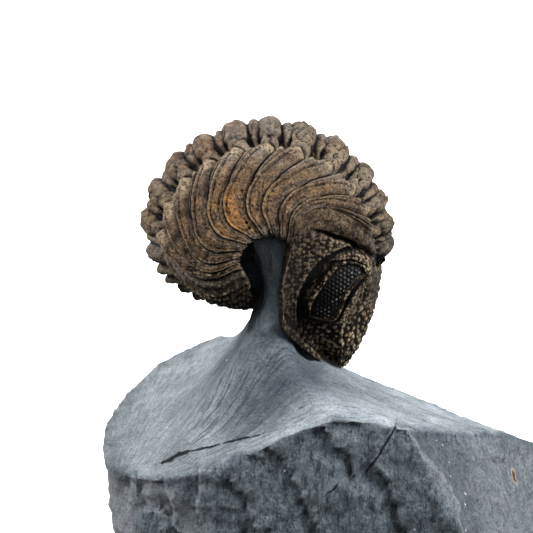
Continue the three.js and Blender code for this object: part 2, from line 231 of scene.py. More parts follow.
def body_point(w, angle, depth):
    """A point of the rolled body: w from -1 to 1 across it, on the line whose midline end is at angle."""
    w, angle, depth = np.broadcast_arrays(*(np.asarray(v, float) for v in (w, angle, depth)))
    p, t = curve(SECTION, np.abs(w))
    t = t / np.hypot(t[..., 0], t[..., 1])[..., None]
    tilt = t[..., 0] * smooth(np.abs(w), 0, 0.08)
    sweep = p[..., 2] * eased(angle, SWEEP)
    radius = p[..., 0] * eased(angle, ROLL) - depth * t[..., 1]
    across = p[..., 1] + depth * tilt
    turn = np.radians(angle + sweep)
    x, z = radius * np.cos(turn), radius * np.sin(turn)
    return CURL + np.stack([x, np.sign(w) * across, z], -1)


def shield_point(shape, w, s, depth):
    """A point of a shield: w across it, s from the edge it shares with the thorax (0) to its far end (1)."""
    w, s, depth = np.broadcast_arrays(*(np.asarray(v, float) for v in (w, s, depth)))
    edge = shape["edge"]
    share = np.abs(w)

    def pushed(points, w_end):
        at, _ = curve(np.vstack([body_point(w_end, edge, 0) - CURL, points]), s)
        inward = body_point(w_end, edge, 1) - body_point(w_end, edge, 0)
        inward = lerp(inward, np.array([0, 0, 1.0]), (s**3)[..., None])
        inward = inward / np.linalg.norm(inward, axis=-1, keepdims=True)
        return CURL + at + inward * depth[..., None]

    midline = np.array([(x, 0, z) for x, z in shape["midline"]], float)
    margin = np.array(shape["margin"], float)
    furrow = FURROW + shape["widening"] * smooth(s, 0, WIDEST_S)
    beside = 1 - (1 - share) * (1 - FURROW) / (1 - furrow)
    in_section = np.where(share < furrow, share * FURROW / furrow, beside)
    k = in_section[..., None]
    section = body_point(in_section, edge, depth)
    residual = section - body_point(0, edge, depth) * (1 - k) - body_point(1, edge, depth) * k
    residual[..., 1] = np.where(share > 0, residual[..., 1], 0)
    swell = np.clip(1 - s * s, 0, 1) ** shape["fullness"]
    point = lerp(pushed(midline, 0), pushed(margin, 1), share[..., None])
    point = point + residual * swell[..., None]
    point[..., 1] *= np.sign(w)
    return point


def normals(grid):
    """Unit normals of a grid of points, rows along the body and columns across it."""
    down, along = np.gradient(grid, axis=0), np.gradient(grid, axis=1)
    n = np.cross(along, down)
    return n / np.maximum(np.linalg.norm(n, axis=-1, keepdims=True), 1e-9)


# ---- meshes ----


def grid_quads(rows, columns, start=0, wrap_rows=False):
    """Quads of a grid of vertices numbered row by row from start."""
    last = rows if wrap_rows else rows - 1
    i, j = np.meshgrid(np.arange(last), np.arange(columns - 1), indexing="ij")
    a = start + i * columns + j
    b = start + (i + 1) % rows * columns + j
    return np.stack([a, a + 1, b + 1, b], -1).reshape(-1, 4)


def border_ids(rows, columns):
    """The vertices round the edge of a grid, in order."""
    ids = np.arange(rows * columns).reshape(rows, columns)
    return np.concatenate([ids[0, :], ids[1:, -1], ids[-1, -2::-1], ids[-2:0:-1, 0]])


def shell(outer, inner, step=1):
    """Vertices and faces of the closed body between two grids, of which inner keeps every step-th line."""
    inner = inner[::step, ::step]
    count = outer.shape[0] * outer.shape[1]
    points = np.concatenate([outer.reshape(-1, 3), inner.reshape(-1, 3)])
    fine = border_ids(*outer.shape[:2])
    coarse = border_ids(*inner.shape[:2]) + count
    nearest = (np.arange(len(fine) + 1) + step // 2) // step % len(coarse)
    here, there = coarse[nearest[:-1]], coarse[nearest[1:]]
    after = np.roll(fine, -1)
    rim = np.stack([fine, here, after, after], -1)
    turns = np.stack([after, here, there, there], -1)[here != there]
    front = grid_quads(*outer.shape[:2])
    back = grid_quads(*inner.shape[:2], count)[:, ::-1]
    return points, np.concatenate([front, back, rim, turns])


def on_shell(grid, step):
    """A grid of values as a list for shell()'s vertices."""
    return np.concatenate([grid.ravel(), grid[::step, ::step].ravel()])


def band(loops):
    """Vertices and faces of the closed body through loops, an array (points round the loop, loops, 3)."""
    rows, columns = loops.shape[:2]
    ends = loops[:, [0, -1]].mean(0)
    points = np.concatenate([loops.reshape(-1, 3), ends])
    quads = grid_quads(rows, columns, wrap_rows=True)
    ring = np.arange(rows) * columns
    after = np.roll(ring, -1)
    tip = np.full(rows, rows * columns)
    first = np.stack([ring, after, tip, tip], -1)
    last = np.stack([after, ring, tip + 1, tip + 1], -1) + [columns - 1, columns - 1, 0, 0]
    return points, np.concatenate([quads, first, last])


def mesh_from(name, points, faces):
    """A mesh of quads; a quad whose last two corners are the same vertex is a triangle."""
    mesh = bpy.data.meshes.new(name)
    triangle = faces[:, 2] == faces[:, 3]
    sizes = np.where(triangle, 3, 4)
    keep = np.ones(faces.shape, bool)
    keep[triangle, 3] = False
    mesh.vertices.add(len(points))
    mesh.vertices.foreach_set("co", np.asarray(points, np.float32).ravel())
    mesh.loops.add(int(sizes.sum()))
    mesh.loops.foreach_set("vertex_index", faces[keep].astype(np.int32))
    mesh.polygons.add(len(faces))
    mesh.polygons.foreach_set("loop_start", np.concatenate([[0], np.cumsum(sizes)[:-1]]).astype(np.int32))
    mesh.update(calc_edges=True)
    mesh.validate()
    return mesh


def mark(mesh, **layers):
    """Stores numbers on a mesh's vertices for its material to read."""
    for name, values in layers.items():
        kind = "FLOAT_VECTOR" if values.ndim == 2 else "FLOAT"
        layer = mesh.attributes.new(name, kind, "POINT")
        layer.data.foreach_set("vector" if values.ndim == 2 else "value", values.astype(np.float32).ravel())


def in_frame(points):
    """Points in millimetres as the frame's metres."""
    return (points + SHIFT) * MM


def placed(name, data):
    """An object in the scene that shows the data."""
    item = bpy.data.objects.new(name, data)
    bpy.context.scene.collection.objects.link(item)
    return item


def add_piece(name, points, faces, material, slot, replaced, **layers):
    """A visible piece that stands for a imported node. It takes points in millimetres."""
    mesh = mesh_from(name, in_frame(points), faces)
    mark(mesh, **layers)
    mesh.polygons.foreach_set("use_smooth", np.ones(len(mesh.polygons), bool))
    mesh.materials.append(material)
    piece = placed(name, mesh)
    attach(piece, "root")
    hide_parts(replaced)
    return piece


# ---- materials ----


def srgb(red, green, blue):
    """A colour from 0-255 screen values."""
    channel = [c / 255 for c in (red, green, blue)]
    return [c / 12.92 if c <= 0.04045 else ((c + 0.055) / 1.055) ** 2.4 for c in channel] + [1.0]


class Nodes:
    """A short way to write a material's node tree."""

    def __init__(self, name):
        self.material = bpy.data.materials.new(name)
        self.material.use_nodes = True
        self.tree = self.material.node_tree
        self.shader = self.tree.nodes["Principled BSDF"]
        self.place = self.add("ShaderNodeTexCoord").outputs["Object"]

    def fill(self, node, inputs):
        """Links or sets a node's inputs, by name or number."""
        for key, value in inputs.items():
            if isinstance(value, bpy.types.NodeSocket):
                self.tree.links.new(value, node.inputs[key])
            else:
                node.inputs[key].default_value = value

    def add(self, kind, inputs=None, **settings):
        node = self.tree.nodes.new(kind)
        for key, value in settings.items():
            setattr(node, key, value)
        self.fill(node, inputs or {})
        return node

    def finished(self, looks):
        """The material, with these inputs of its shader."""
        self.fill(self.shader, looks)
        return self.material

    def layer(self, name, vector=False):
        """The numbers that mark() stored under this name."""
        node = self.add("ShaderNodeAttribute", attribute_name=name)
        return node.outputs["Vector" if vector else "Fac"]

    def noise(self, scale, detail=3, roughness=0.6, place=None):
        inputs = {"Vector": place or self.place, "Scale": scale, "Detail": detail, "Roughness": roughness}
        return self.add("ShaderNodeTexNoise", inputs).outputs["Fac"]

    def stretched(self, place, inputs):
        return self.add("ShaderNodeMapping", {"Vector": place, **inputs}).outputs["Vector"]

    def math(self, operation, a, b=0.0, clamp=False):
        return self.add("ShaderNodeMath", {0: a, 1: b}, operation=operation, use_clamp=clamp).outputs[0]

    def times(self, a, b):
        return self.math("MULTIPLY", a, b)

    def ramp(self, value, start, end, low=0.0, high=1.0):
        """value from start to end as low to high, eased."""
        inputs = {"Value": value, "From Min": start, "From Max": end, "To Min": low, "To Max": high}
        return self.add("ShaderNodeMapRange", inputs, interpolation_type="SMOOTHSTEP").outputs[0]

    def mix(self, share, a, b):
        return self.add("ShaderNodeMix", {0: share, 6: a, 7: b}, data_type="RGBA").outputs[2]

    def shades(self, value, start, end, first, last):
        """From one colour to another, in screen values, as value goes from start to end."""
        return self.mix(self.ramp(value, start, end), srgb(*first), srgb(*last))

    def coats(self, under, *rows):
        """Colours painted over, each up to the share most, as its value goes from start to end."""
        for value, start, end, most, rgb in rows:
            under = self.mix(self.ramp(value, start, end, 0, most), under, srgb(*rgb))
        return under

    def bump(self, height, distance, below=None):
        node = self.add("ShaderNodeBump", {"Height": height, "Distance": distance, "Strength": 1.0})
        if below is not None:
            self.fill(node, {"Normal": below})
        return node.outputs["Normal"]


def shell_material():
    """Brown calcite shell: greyer on the axis, orange on some plates, with painted shade that turns the
    crevices black.
    """
    n = Nodes("fossil_shell")
    warm, hollow, dark, fleck = (n.layer(name) for name in ("warm", "hollow", "dark", "fleck"))
    blotches = n.noise(800, 5, 0.7)
    grain = n.noise(5600, 3, 0.75)
    crumbs = n.noise(3000, 4, 0.72)
    grey_brown = n.shades(blotches, 0.36, 0.64, (80, 75, 68), (143, 132, 117))
    brown = n.shades(blotches, 0.36, 0.64, (80, 60, 38), (136, 104, 66))
    orange = n.shades(blotches, 0.4, 0.6, (114, 72, 24), (176, 122, 52))
    pale = n.shades(crumbs, 0.4, 0.6, (140, 116, 84), (186, 170, 144))
    black = srgb(14, 12, 11)
    colour = n.mix(n.ramp(warm, 0, 0.5), grey_brown, brown)
    colour = n.mix(n.ramp(warm, 0.5, 1), colour, orange)
    # The dark layer: the shell's own mottling and dark spots, with painted shade low on the head and tail, in
    # the trenches under the eyes and in the furrows.
    colour = n.mix(n.times(dark, 0.985), colour, black)
    # Pale flecks: the shell's own pale granules and worn knobs, with painted highlights on the knobs and
    # along the plates' rear edges.
    colour = n.mix(n.times(fleck, n.ramp(blotches, 0.34, 0.56, 0.45, 1)), colour, pale)
    spots = n.math("ADD", n.times(grain, 0.5), n.times(crumbs, 0.5))
    spotted = n.times(n.ramp(spots, 0.5, 0.41), n.ramp(warm, 0.6, 1, 0.85, 0.5))
    colour = n.mix(spotted, colour, black)
    specks = n.times(n.ramp(spots, 0.53, 0.62, 0, 0.5), n.ramp(dark, 0.2, 0.9, 1, 0))
    colour = n.mix(specks, colour, srgb(186, 162, 128))
    # Painted highlight on raised edges, partly also their wear; painted shade, near black, in the crevices.
    edges = (hollow, -0.06, -0.4, 0.32, (176, 160, 138))
    crevices = (hollow, 0, 0.22, 0.97, (6, 5, 5))
    looks = {
        "Base Color": n.coats(colour, edges, crevices),
        "Roughness": n.ramp(grain, 0.3, 0.7, 0.75, 0.5),
        "Specular IOR Level": n.ramp(dark, 0.3, 0.95, 0.3, 0.12),
        "Normal": n.bump(grain, 0.0003, n.bump(n.noise(2400, 4, 0.75), 0.0004)),
    }
    return n.finished(looks)


def lens_material():
    """The near-black, slightly glossy visual surface of an eye, with painted glints as pale tops on some
    lenses.
    """
    n = Nodes("eye_lenses")
    grain = n.noise(3000, 3)
    # Painted glints: pale lens tops where the fleck layer picks the lenses.
    lit = n.times(n.ramp(grain, 0.46, 0.6), n.layer("fleck"))
    top = n.mix(lit, srgb(5, 5, 7), srgb(118, 115, 112))
    colour = n.mix(n.ramp(n.layer("hollow"), -0.03, -0.07), srgb(4, 4, 6), top)
    relief = n.bump(grain, 0.00008)
    return n.finished({"Base Color": colour, "Roughness": 0.45, "Specular IOR Level": 0.16, "Normal": relief})


def calcite_flecks(n, more):
    """Rare white flecks: the middles of a few of the cells of a fine foam, more of them where more is 1."""
    foam = n.add("ShaderNodeTexVoronoi", {"Vector": n.place, "Scale": 1300})
    chosen = n.add("ShaderNodeSeparateColor", {"Color": foam.outputs["Color"]}).outputs[0]
    shape = n.math("ADD", foam.outputs["Distance"], n.times(n.noise(4000), 0.3))
    rare = n.ramp(more, 0, 1, 0.985, 0.8)
    return n.times(n.ramp(shape, 0.36, 0.28), n.math("GREATER_THAN", chosen, rare))


def nearest_crack(n):
    """1 on the thin cracks, whose signed distances are the three parts of a layer, with ragged sides."""
    parts = n.add("ShaderNodeSeparateXYZ", {"Vector": n.layer("cracks", vector=True)}).outputs
    first, second, third = (n.math("ABSOLUTE", part) for part in parts)
    nearest = n.math("MINIMUM", n.math("MINIMUM", first, second), third)
    ragged = n.math("ADD", nearest, n.times(n.noise(900, 5, 0.75), 0.6))
    return n.ramp(ragged, 0.44, 0.35)


def broken_stone(n, mottle, grainy, crease):
    """Fresh breaks: dark, mottled and grainy, pale where two facets meet; plain and paler on the side faces,
    as painted light, and on the front's lower left chip.
    """
    edge = n.math("ADD", n.layer("edge"), n.times(n.noise(900, 4, 0.7), 0.8))
    colour = n.coats(
        n.shades(mottle, 0.3, 0.7, (99, 110, 118), (128, 139, 147)),
        (grainy, 0.5, 0.38, 0.9, (48, 57, 65)),
        (grainy, 0.55, 0.68, 0.6, (160, 170, 177)),
        (crease, 0.022, 0, 0.75, (36, 44, 51)),
        (edge, 0.62, 0.42, 0.8, (158, 168, 174)),
    )
    # Painted light: the plain, paler colour on the side faces that turn to the lamps.
    plain = n.shades(mottle, 0.3, 0.7, (146, 152, 158), (172, 174, 178))
    return n.mix(n.layer("plain"), colour, plain)


def worked_stone(n, mottle, strokes_at, fine_strokes, brushing):
    """The brushed slope: pale, streaked along the brush strokes, with long dark and pale scratches."""
    pale = n.shades(mottle, 0.3, 0.7, (134, 143, 149), (164, 172, 177))
    streaks = n.ramp(n.math("ADD", n.noise(1.0, 5, 0.65, strokes_at), fine_strokes), 0.88, 1.12)
    streaked = n.mix(streaks, n.mix(0.2, pale, srgb(60, 68, 74)), n.mix(0.12, pale, srgb(205, 210, 213)))
    colour = n.mix(brushing, pale, streaked)
    colour = n.mix(n.times(n.ramp(fine_strokes, 0.4, 0.3, 0, 0.75), brushing), colour, srgb(44, 52, 58))
    scratches = n.noise(1.9, 4, 0.6, n.stretched(strokes_at, {"Scale": (0.4, 1.0, 0.5)}))
    scratched = n.layer("scratched")
    for start, end, most, rgb in ((0.44, 0.38, 0.85, (40, 47, 54)), (0.56, 0.62, 0.5, (200, 206, 210))):
        colour = n.mix(n.times(n.ramp(scratches, start, end, 0, most), scratched), colour, srgb(*rgb))
    return n.coats(colour, (n.noise(130, 4, 0.6), 0.42, 0.62, 0.25, (80, 88, 94)))


def rock_material():
    """Slate-grey limestone: brushed pale where it was worked, dark and mottled where it broke, with painted
    shade round the pillar, in the roll and in hollows, and painted light on the side faces.
    """
    n = Nodes("limestone")
    worked, hollow, rust, brushing = (n.layer(name) for name in ("worked", "hollow", "rust", "brushing"))
    strokes_at = n.layer("strokes", vector=True)
    fine_strokes = n.noise(3.1, 4, 0.7, strokes_at)
    mottle = n.noise(420, 6, 0.66)
    grain = n.noise(3800, 3, 0.7)
    slanted = n.stretched(n.place, {"Rotation": (0.0, math.radians(-35), 0.0), "Scale": (1.0, 1.0, 0.3)})
    grainy = n.noise(1900, 6, 0.78, slanted)
    crease = n.math("ABSOLUTE", n.math("SUBTRACT", n.noise(800, 5, 0.65, slanted), 0.5))
    brushed = worked_stone(n, mottle, strokes_at, fine_strokes, brushing)
    colour = n.mix(worked, broken_stone(n, mottle, grainy, crease), brushed)
    # Painted shade round the pillar, before it under the head, beside the right facet and at the rim's left
    # tip.
    colour = n.mix(n.times(n.layer("shade"), 0.97), colour, srgb(32, 44, 55))
    colour = n.mix(n.ramp(grain, 0.38, 0.6), n.mix(0.35, colour, srgb(24, 30, 36)), colour)
    # Painted shade in hollows, deep in the roll and under the plates; painted highlight on bumps.
    crevices = (hollow, 0.02, 0.3, 0.9, (12, 15, 19))
    colour = n.coats(colour, crevices, (hollow, -0.02, -0.2, 0.45, (168, 177, 183)))
    colour = n.mix(calcite_flecks(n, n.layer("chips")), colour, srgb(206, 208, 204))
    colour = n.mix(nearest_crack(n), colour, srgb(16, 20, 25))
    colour = n.coats(colour, (rust, 1.35, 1.15, 1, (168, 158, 144)), (rust, 1, 0.7, 1, (98, 58, 40)))
    unworked = n.math("SUBTRACT", 1.0, worked, clamp=True)
    relief = None
    for height, distance in (
        (n.times(grainy, unworked), 0.0007),
        (n.noise(900, 5, 0.65), 0.0004),
        (n.times(n.noise(2600, 4, 0.7), unworked), 0.0005),
        (n.times(fine_strokes, n.times(worked, brushing)), 0.0003),
        (grain, 0.00012),
    ):
        relief = n.bump(height, distance, relief)
    return n.finished({"Base Color": colour, "Roughness": 0.85, "Specular IOR Level": 0.25, "Normal": relief})


# ---- the thorax ----

COLUMNS = 330  # steps across a segment
OUTER_ROWS = 42  # steps along its outer side
TUCK = 0.3  # share of a segment's length that lies under the plate ahead
PLATE_THICKNESS = (2.5, 0.9)  # of a segment, on the axis and on the side lobes
GRANULE = 0.42  # distance between the shell's fine granules
WARMTH = [0.2, 0.25, 0.4, 0.5, 0.6, 1.0, 0.55, 0.5, 0.5, 0.48, 0.4]  # from the first segment to the last


def rounded(x, power, edge):
    """1 in the middle of -1 to 1, falling to 0 at the ends: squarer for a larger power."""
    return np.clip(1 - np.abs(x) ** power, 0, 1) ** edge


def axis_height(a, u):
    """Height of a segment's outer side on the axial lobe, at share a from the midline, u along it."""
    floor = -1.0 - 0.6 * smooth(a, 0.15, 0.32)
    half_ring = 0.5 * rounded((u - 0.12) / ramp(a, 0.33, 0.1, 0.02, 0.17), 2.2, 0.6)
    half_ring = half_ring * smooth(a, 0.32, 0.22) + 0.3 * smooth(a, 0.15, 0.3) * hump(u, 0.1, 0.12)
    ring_half = 0.36 - 0.06 * hump(a, 0.235, 0.05) - 0.03 * smooth(a, 0.2, 0.3)
    ring = rounded((u - 0.66) / ring_half, 2.4, 0.6)
    top = -0.02 - 0.08 * hump(u, 0.66, 0.1) - 0.22 * hump(a, 0.235, 0.035) + 0.1 * hump(a, 0.285, 0.04)
    top = top - 0.3 * smooth(a, 0.3, 0.345)
    return floor + half_ring + (top - floor) * ring


def side_height(a, u):
    """The same on the side lobe."""
    furrow = np.interp(a, [0.34, 0.45, 0.55, 0.65, 0.74], [0.42, 0.37, 0.29, 0.17, -0.05])
    furrowed = smooth(a, 0.74, 0.62)
    rear_band = 0.4 * smooth(u, furrow, furrow + 0.26)
    front_lobe = 0.3 * hump(u, furrow * 0.5, np.maximum(furrow * 0.5, 0.02)) * furrowed
    groove = -0.45 * hump(u, furrow, 0.08) * furrowed
    lip = 0.14 * hump(u, 0.95, 0.09) - 0.1 * hump(u, 0.82, 0.09)
    knob = 0.5 * hump(u, 0.7, 0.3) * hump(a, 0.375, 0.055) + 0.2 * hump(u, 0.22, 0.16) * hump(a, 0.375, 0.05)
    facet = 0.2 * smooth(u, 0.34, 0.46) * smooth(a, 0.6, 0.72)
    return -0.35 + rear_band + front_lobe + groove + lip + knob + facet - 0.25 * smooth(a, 0.6, 0.75)


def segment_height(a, u):
    """The whole outer side, with the pits and the thin furrow between axis and side lobes."""
    side = smooth(a, 0.325, 0.35)
    height = lerp(axis_height(a, u), side_height(a, u), side)
    seam = FURROW + 0.008 - 0.026 * hump(u, 0.68, 0.36)
    height = height - 0.45 * hump(a, seam, 0.018) * smooth(u, 0.3, 0.45)
    height = height - 1.4 * hump(u, 0.2, 0.22) * hump(a, 0.326, 0.045)
    return height * ramp(a, 0.7, 1, 1, 0.6)


def cavity(height):
    """How far below its surroundings each point of a grid of heights lies, near and far."""
    near, middle, far = (blurred(height, steps) - height for steps in (2, 6, 30))
    return 1.3 * near + 0.8 * middle + 0.55 * far


def painted_low_shade(points):
    """Painted shade from the light above: black low on the head and tail, the brown left bare higher up."""
    rolled = points - CURL
    x, z = rolled[..., 0], rolled[..., 2]
    uneven = 1.2 * noise(points, 2.5, 107, 3)
    head = ramp(z + uneven, 2.0, -4.0, 0.6, 0.97) * ramp(x, 9.3, 11.5, 1, 0.55)
    tail = 0.94 * smooth(z + uneven, 3.5, -6.5)
    outer = smooth(np.hypot(x, z), 11, 12.5)
    return np.where(x > 0, head * smooth(z, 7, 2), tail * lerp(1, 0.12, outer))


# Three tiny holes at the foot of the golden plate, from the curl axis; the far side has its own two.
PITS = [(-2.4, -10.9, 4.6), (-2.2, -11.0, 4.25), (-1.9, -11.2, 3.7), (-2.8, 10.4, 5.3), (-2.1, 11.1, 4.1)]
PIT_DEPTH = 0.5
PIT_RADIUS = 0.22

LIP = [(1.012, 0.06), (1.018, 0.16), (1.016, 0.3), (1.0, 0.45)]  # a free rear edge in section, as (u, drop)
UNDERSIDE = [0.92, 0.6, 0.2, -0.15, -TUCK]  # u of the rows underneath


def segment_relief(number, w, u, angle):
    """Heights of a segment's outer side with its bumps, wrinkles, granules and pits."""
    a = np.abs(w)
    plain = body_point(w, angle, 0)
    height = segment_height(a + 0.012 * noise(plain, 1.8, 61), u + 0.05 * noise(plain, 2.2, 67))
    rough = body_point(w, angle, -height)
    axial = smooth(a, 0.35, 0.3)
    height += 0.1 * noise(rough, 1.5, 31 + number) * smooth(a, 1, 0.8)
    height += axial * (0.26 * noise(rough, 0.9, 37, 3) + 0.12 * noise(rough, 1.9, 41))
    height -= 0.2 * axial * hump(noise(rough, 1.6, 43, 2), 0, 0.12)
    height += 0.1 * noise(rough, 0.45, 47, 3)
    height -= 0.1 * grains(rough, GRANULE, 53, 0.3)
    for pit in PITS:
        height -= PIT_DEPTH * hump(np.linalg.norm(rough - CURL - pit, axis=-1), 0, PIT_RADIUS)
    return height


def closed_rows(a, u, height):
    """The rows round a whole segment, and their u and height, drawn together at its two tips."""
    last = height[-1]
    below = np.minimum(-ramp(a, 0.3, 0.5, *PLATE_THICKNESS)[0], last - 0.5)
    rows = np.concatenate([u[:, 0], [k for k, _ in LIP], UNDERSIDE])[:, None]
    heights = np.concatenate([height, [last - drop for _, drop in LIP], [below] * len(UNDERSIDE)])
    ends = np.sqrt(1 - 0.85 * smooth(a, 0.975, 1.0) ** 2)
    middle_u, middle_h = 0.55, -0.45
    return rows, middle_u + (rows - middle_u) * ends, middle_h + (heights - middle_h) * ends


def segment_warmth(number, a, u, points, last_ones):
    """How brown or orange a segment is: grey on the axis, warm on its side lobes."""
    warmth = WARMTH[number - 1]
    side = smooth(a, 0.42, 0.68) * smooth(a, 1.0, 0.9) * (0.9 + 0.5 * noise(points, 2.4, 127, 3))
    golden = smooth(a + 0.1 * noise(points, 2.4, 149, 2), 0.6, 0.72)
    share = lerp(min(warmth, 0.42), warmth, golden)
    warm = 0.12 + share * side * ramp(u, 0.3, 0.55, 0.45, 1)
    return warm + (0.18 * smooth(noise(points, 2.2, 197, 2), 0.0, 0.4) + 0.12 * last_ones) * (1 - side)


def segment_flecks(number, a, u, points, last_ones):
    """How cream a segment is, on its knobs, rings, last granules and rear edge, and the edge alone. The
    knobs' cream is partly wear and partly painted highlight; the pale rear edge is a painted highlight.
    """
    creamy = hump(number, 9.6, 3.2)
    fleck = lerp(1.1, 2.0, creamy) * hump(a, lerp(0.385, 0.4, creamy), lerp(0.085, 0.14, creamy))
    fleck = fleck * hump(u, 0.58, 0.55) * smooth(noise(points, 1.6, 173, 2), -0.7, 0.0)
    fleck = np.maximum(fleck, 0.6 * hump(number, 3.4, 2.4) * hump(a, 0.24, 0.14))
    granules = smooth(grains(points, GRANULE, 83, 0.46), 0.5, 0.85) * smooth(a, 0.42, 0.55)
    granules = granules * smooth(points[..., 2] - CURL[2], 3, -3)
    fleck = np.maximum(fleck, 1.25 * granules * last_ones)
    # Painted highlight: a pale line along the free rear edge.
    edge = lerp(0.55, 1.25, last_ones) * hump(u, 0.975, 0.055) * smooth(a, 0.36, 0.42)
    edge = edge * smooth(noise(points, 1.4, 191, 2), -0.55, 0.2)
    return np.maximum(fleck, edge), edge


def segment_dark(number, a, points, last_ones, fleck, edge):
    """How black a segment is: its own mottling, painted shade low down and painted shade in the furrow beside
    the last rings.
    """
    most = lerp(lerp(0.3, 0.65, last_ones), ramp(number, 8, 11, 0.4, 0.1), smooth(a, 0.35, 0.3))
    mottled = smooth(noise(points, 0.75, 181, 4), -0.05, 0.35) * most
    mottled = mottled * (1 - np.minimum(edge, 1)) * (1 - np.minimum(fleck, 1))
    # Painted shade in the axial furrow beside the last rings.
    seam = smooth(number, 7, 10) * hump(a, 0.335, 0.022)
    return np.clip(painted_low_shade(points) + mottled + seam, 0, 1)


def segment(number, material):
    """One segment: a plate whose front is tucked under the plate ahead and whose rear edge is free."""
    front, rear = REAR_EDGES[number - 1], REAR_EDGES[number]
    w = np.linspace(-1, 1, COLUMNS + 1)[None, :]
    a = np.abs(w)
    u = np.linspace(-TUCK, 1, OUTER_ROWS + 1)[:, None]
    last_ones = smooth(number, 6, 9)
    height = segment_relief(number, w, u, lerp(front, rear, u))
    # Painted shade: darker in the relief's hollows, in the pit by the axial furrow and in the gap under the
    # plate ahead.
    hollow = cavity(height) + 0.5 * hump(u, 0.18, 0.2) * hump(a, 0.33, 0.035)
    hollow = hollow + lerp(0.14, 0.75, last_ones) * hump(u, 0.05, 0.14) * smooth(a, 0.36, 0.42)
    rows, u_all, h_all = closed_rows(a, u, height)
    points = body_point(w, lerp(front, rear, u_all), -h_all)
    vertices, faces = band(points)
    hidden = np.repeat(hollow[-1:], len(points) - len(hollow), 0)
    fleck, edge = segment_flecks(number, a, rows, points, last_ones)
    grids = dict(
        hollow=np.concatenate([hollow, hidden]),
        warm=segment_warmth(number, a, rows, points, last_ones),
        dark=segment_dark(number, a, points, last_ones, fleck, edge),
        fleck=fleck,
    )
    layers = {key: np.append(grid.ravel(), [0, 0]) for key, grid in grids.items()}
    name = f"thoracic_segment_{number:02d}"
    return add_piece(name + "_plate", vertices, faces, material, "fossil_shell", name, **layers)


# ---- the shields ----

HEAD_GRID = (236, 360)  # steps along and across the head shield
TAIL_GRID = (140, 260)  # and the tail shield
INNER_STEP = 4  # the inside of a shield or an eye has every fourth line of its outside
SHIELD_THICKNESS = (2.2, 0.7)  # of a shield, in the middle and at the margin
TUBERCLE = 0.62  # distance between the coarse granules on the front of the head


def shield_grid(shape, rows, columns):
    """w and s over a whole shield, and its points before anything stands out of it."""
    w, s = np.meshgrid(np.linspace(-1, 1, columns + 1), np.linspace(0, 1, rows + 1))
    return w, s, shield_point(shape, w, s, 0)


def shield_piece(name, node, shape, w, s, base, height, material, **layers):
    """A shield whose outer side stands off from the base grid by height."""
    thickness = lerp(*SHIELD_THICKNESS, np.maximum(np.abs(w), s) ** 4)
    outer = base + shape["hand"] * normals(base) * height[..., None]
    inner = shield_point(shape, w, s, thickness)
    rows = slice(None, None, shape["hand"])
    vertices, faces = shell(outer[rows], inner[rows], INNER_STEP)
    # Hollow: the relief's hollows, which the shell material paints in shade.
    grids = dict(layers, hollow=cavity(height))
    layers = {key: on_shell((grid + 0 * w)[rows], INNER_STEP) for key, grid in grids.items()}
    return add_piece(name, vertices, faces, material, "fossil_shell", node, **layers)


# Where the axial furrow runs on the head shield, as (s, share from the midline): the glabella widens
# towards the front until it takes the head's whole width.
HEAD_FURROW = [(0.0, 0.33), (0.1, 0.32), (0.3, 0.33), (0.42, 0.33), (0.52, 0.44), (0.6, 0.68), (0.7, 0.95)]
# Where the furrow behind the head's rear border runs, as (share from the midline, s).
BORDER_FURROW = [
    (0.0, 0.25), (0.12, 0.21), (0.3, 0.07), (0.385, 0.12), (0.49, 0.128),
    (0.552, 0.12), (0.607, 0.13), (0.65, 0.14), (0.73, 0.138), (0.85, 0.1),
]
EYE_LONG = 4.55  # half of the length of the oval that an eye's two rims fill
EYE_WIDE = 2.45  # half of its width


def eye_place(points):
    """How far along and across an eye points lie, for either eye, and how far outside its outline."""
    local = points - CURL - np.array(EYE_CENTRE) * [1, 0, 1]
    c, n = math.cos(EYE_TILT), math.sin(EYE_TILT)
    p = local[..., 0] * c + local[..., 2] * n
    q = local[..., 0] * n - local[..., 2] * c
    return p, q, np.where(np.abs(local[..., 1]) > 4, outside_eye(p, q, points), 9)


def outside_eye(p, q, points):
    """Distance outside the oval that the eye's two rims fill, uneven."""
    around = np.hypot((p + 0.25) / EYE_LONG, (q - 0.02) / EYE_WIDE)
    reach = lerp(EYE_WIDE, EYE_LONG, smooth(np.abs(p + 0.25), 1.5, EYE_LONG))
    return (around - 1) * reach + 0.16 * noise(points, 1.3, 131, 2)


def outside_lenses(p, q, points):
    """Distance outside the lenses, uneven, and counted double at the two ends, where the rims close up."""
    near_end = np.maximum(smooth(p, 2.0, 3.3), smooth(p, -2.8, -3.8))
    away = -distance_inside(p, q, LENS_FIELD) * lerp(1, 2, near_end)
    return np.where(away > 0, np.maximum(away * (1 + 0.25 * noise(points, 1.3, 131, 2)), 0), away)


def head_shape(a, s, furrow, rear):
    """Heights of the head shield's rear ring and border, its furrows and its rim."""
    axis = smooth(a, 0.33, 0.29)
    ring = rounded((s - rear * 0.5) / (rear * 0.52), 2.4, 0.6) * (s < rear * 1.03)
    height = axis * smooth(s, 0.32, 0.2) * (0.75 * ring - 0.8)
    height += (1 - axis) * (0.3 * hump(s, rear * 0.55, rear * 0.5) * smooth(a, 0.8, 0.6))
    height -= (1 - axis) * 0.7 * hump(s, rear + 0.004, 0.02) * smooth(a, 0.78, 0.66)
    height += 0.45 * hump(a, furrow, 0.12) * smooth(s, 0.05, 0.2) * smooth(s, 0.6, 0.45)
    height -= 0.35 * hump(a, furrow, 0.03) * smooth(s, 0.85, 0.6)
    height -= 1.5 * hump(s, 0.075, 0.055) * hump(a, 0.305, 0.05)
    return height + 0.12 * smooth(a, 0.955, 0.975) - 0.2 * hump(a, 0.945, 0.025)


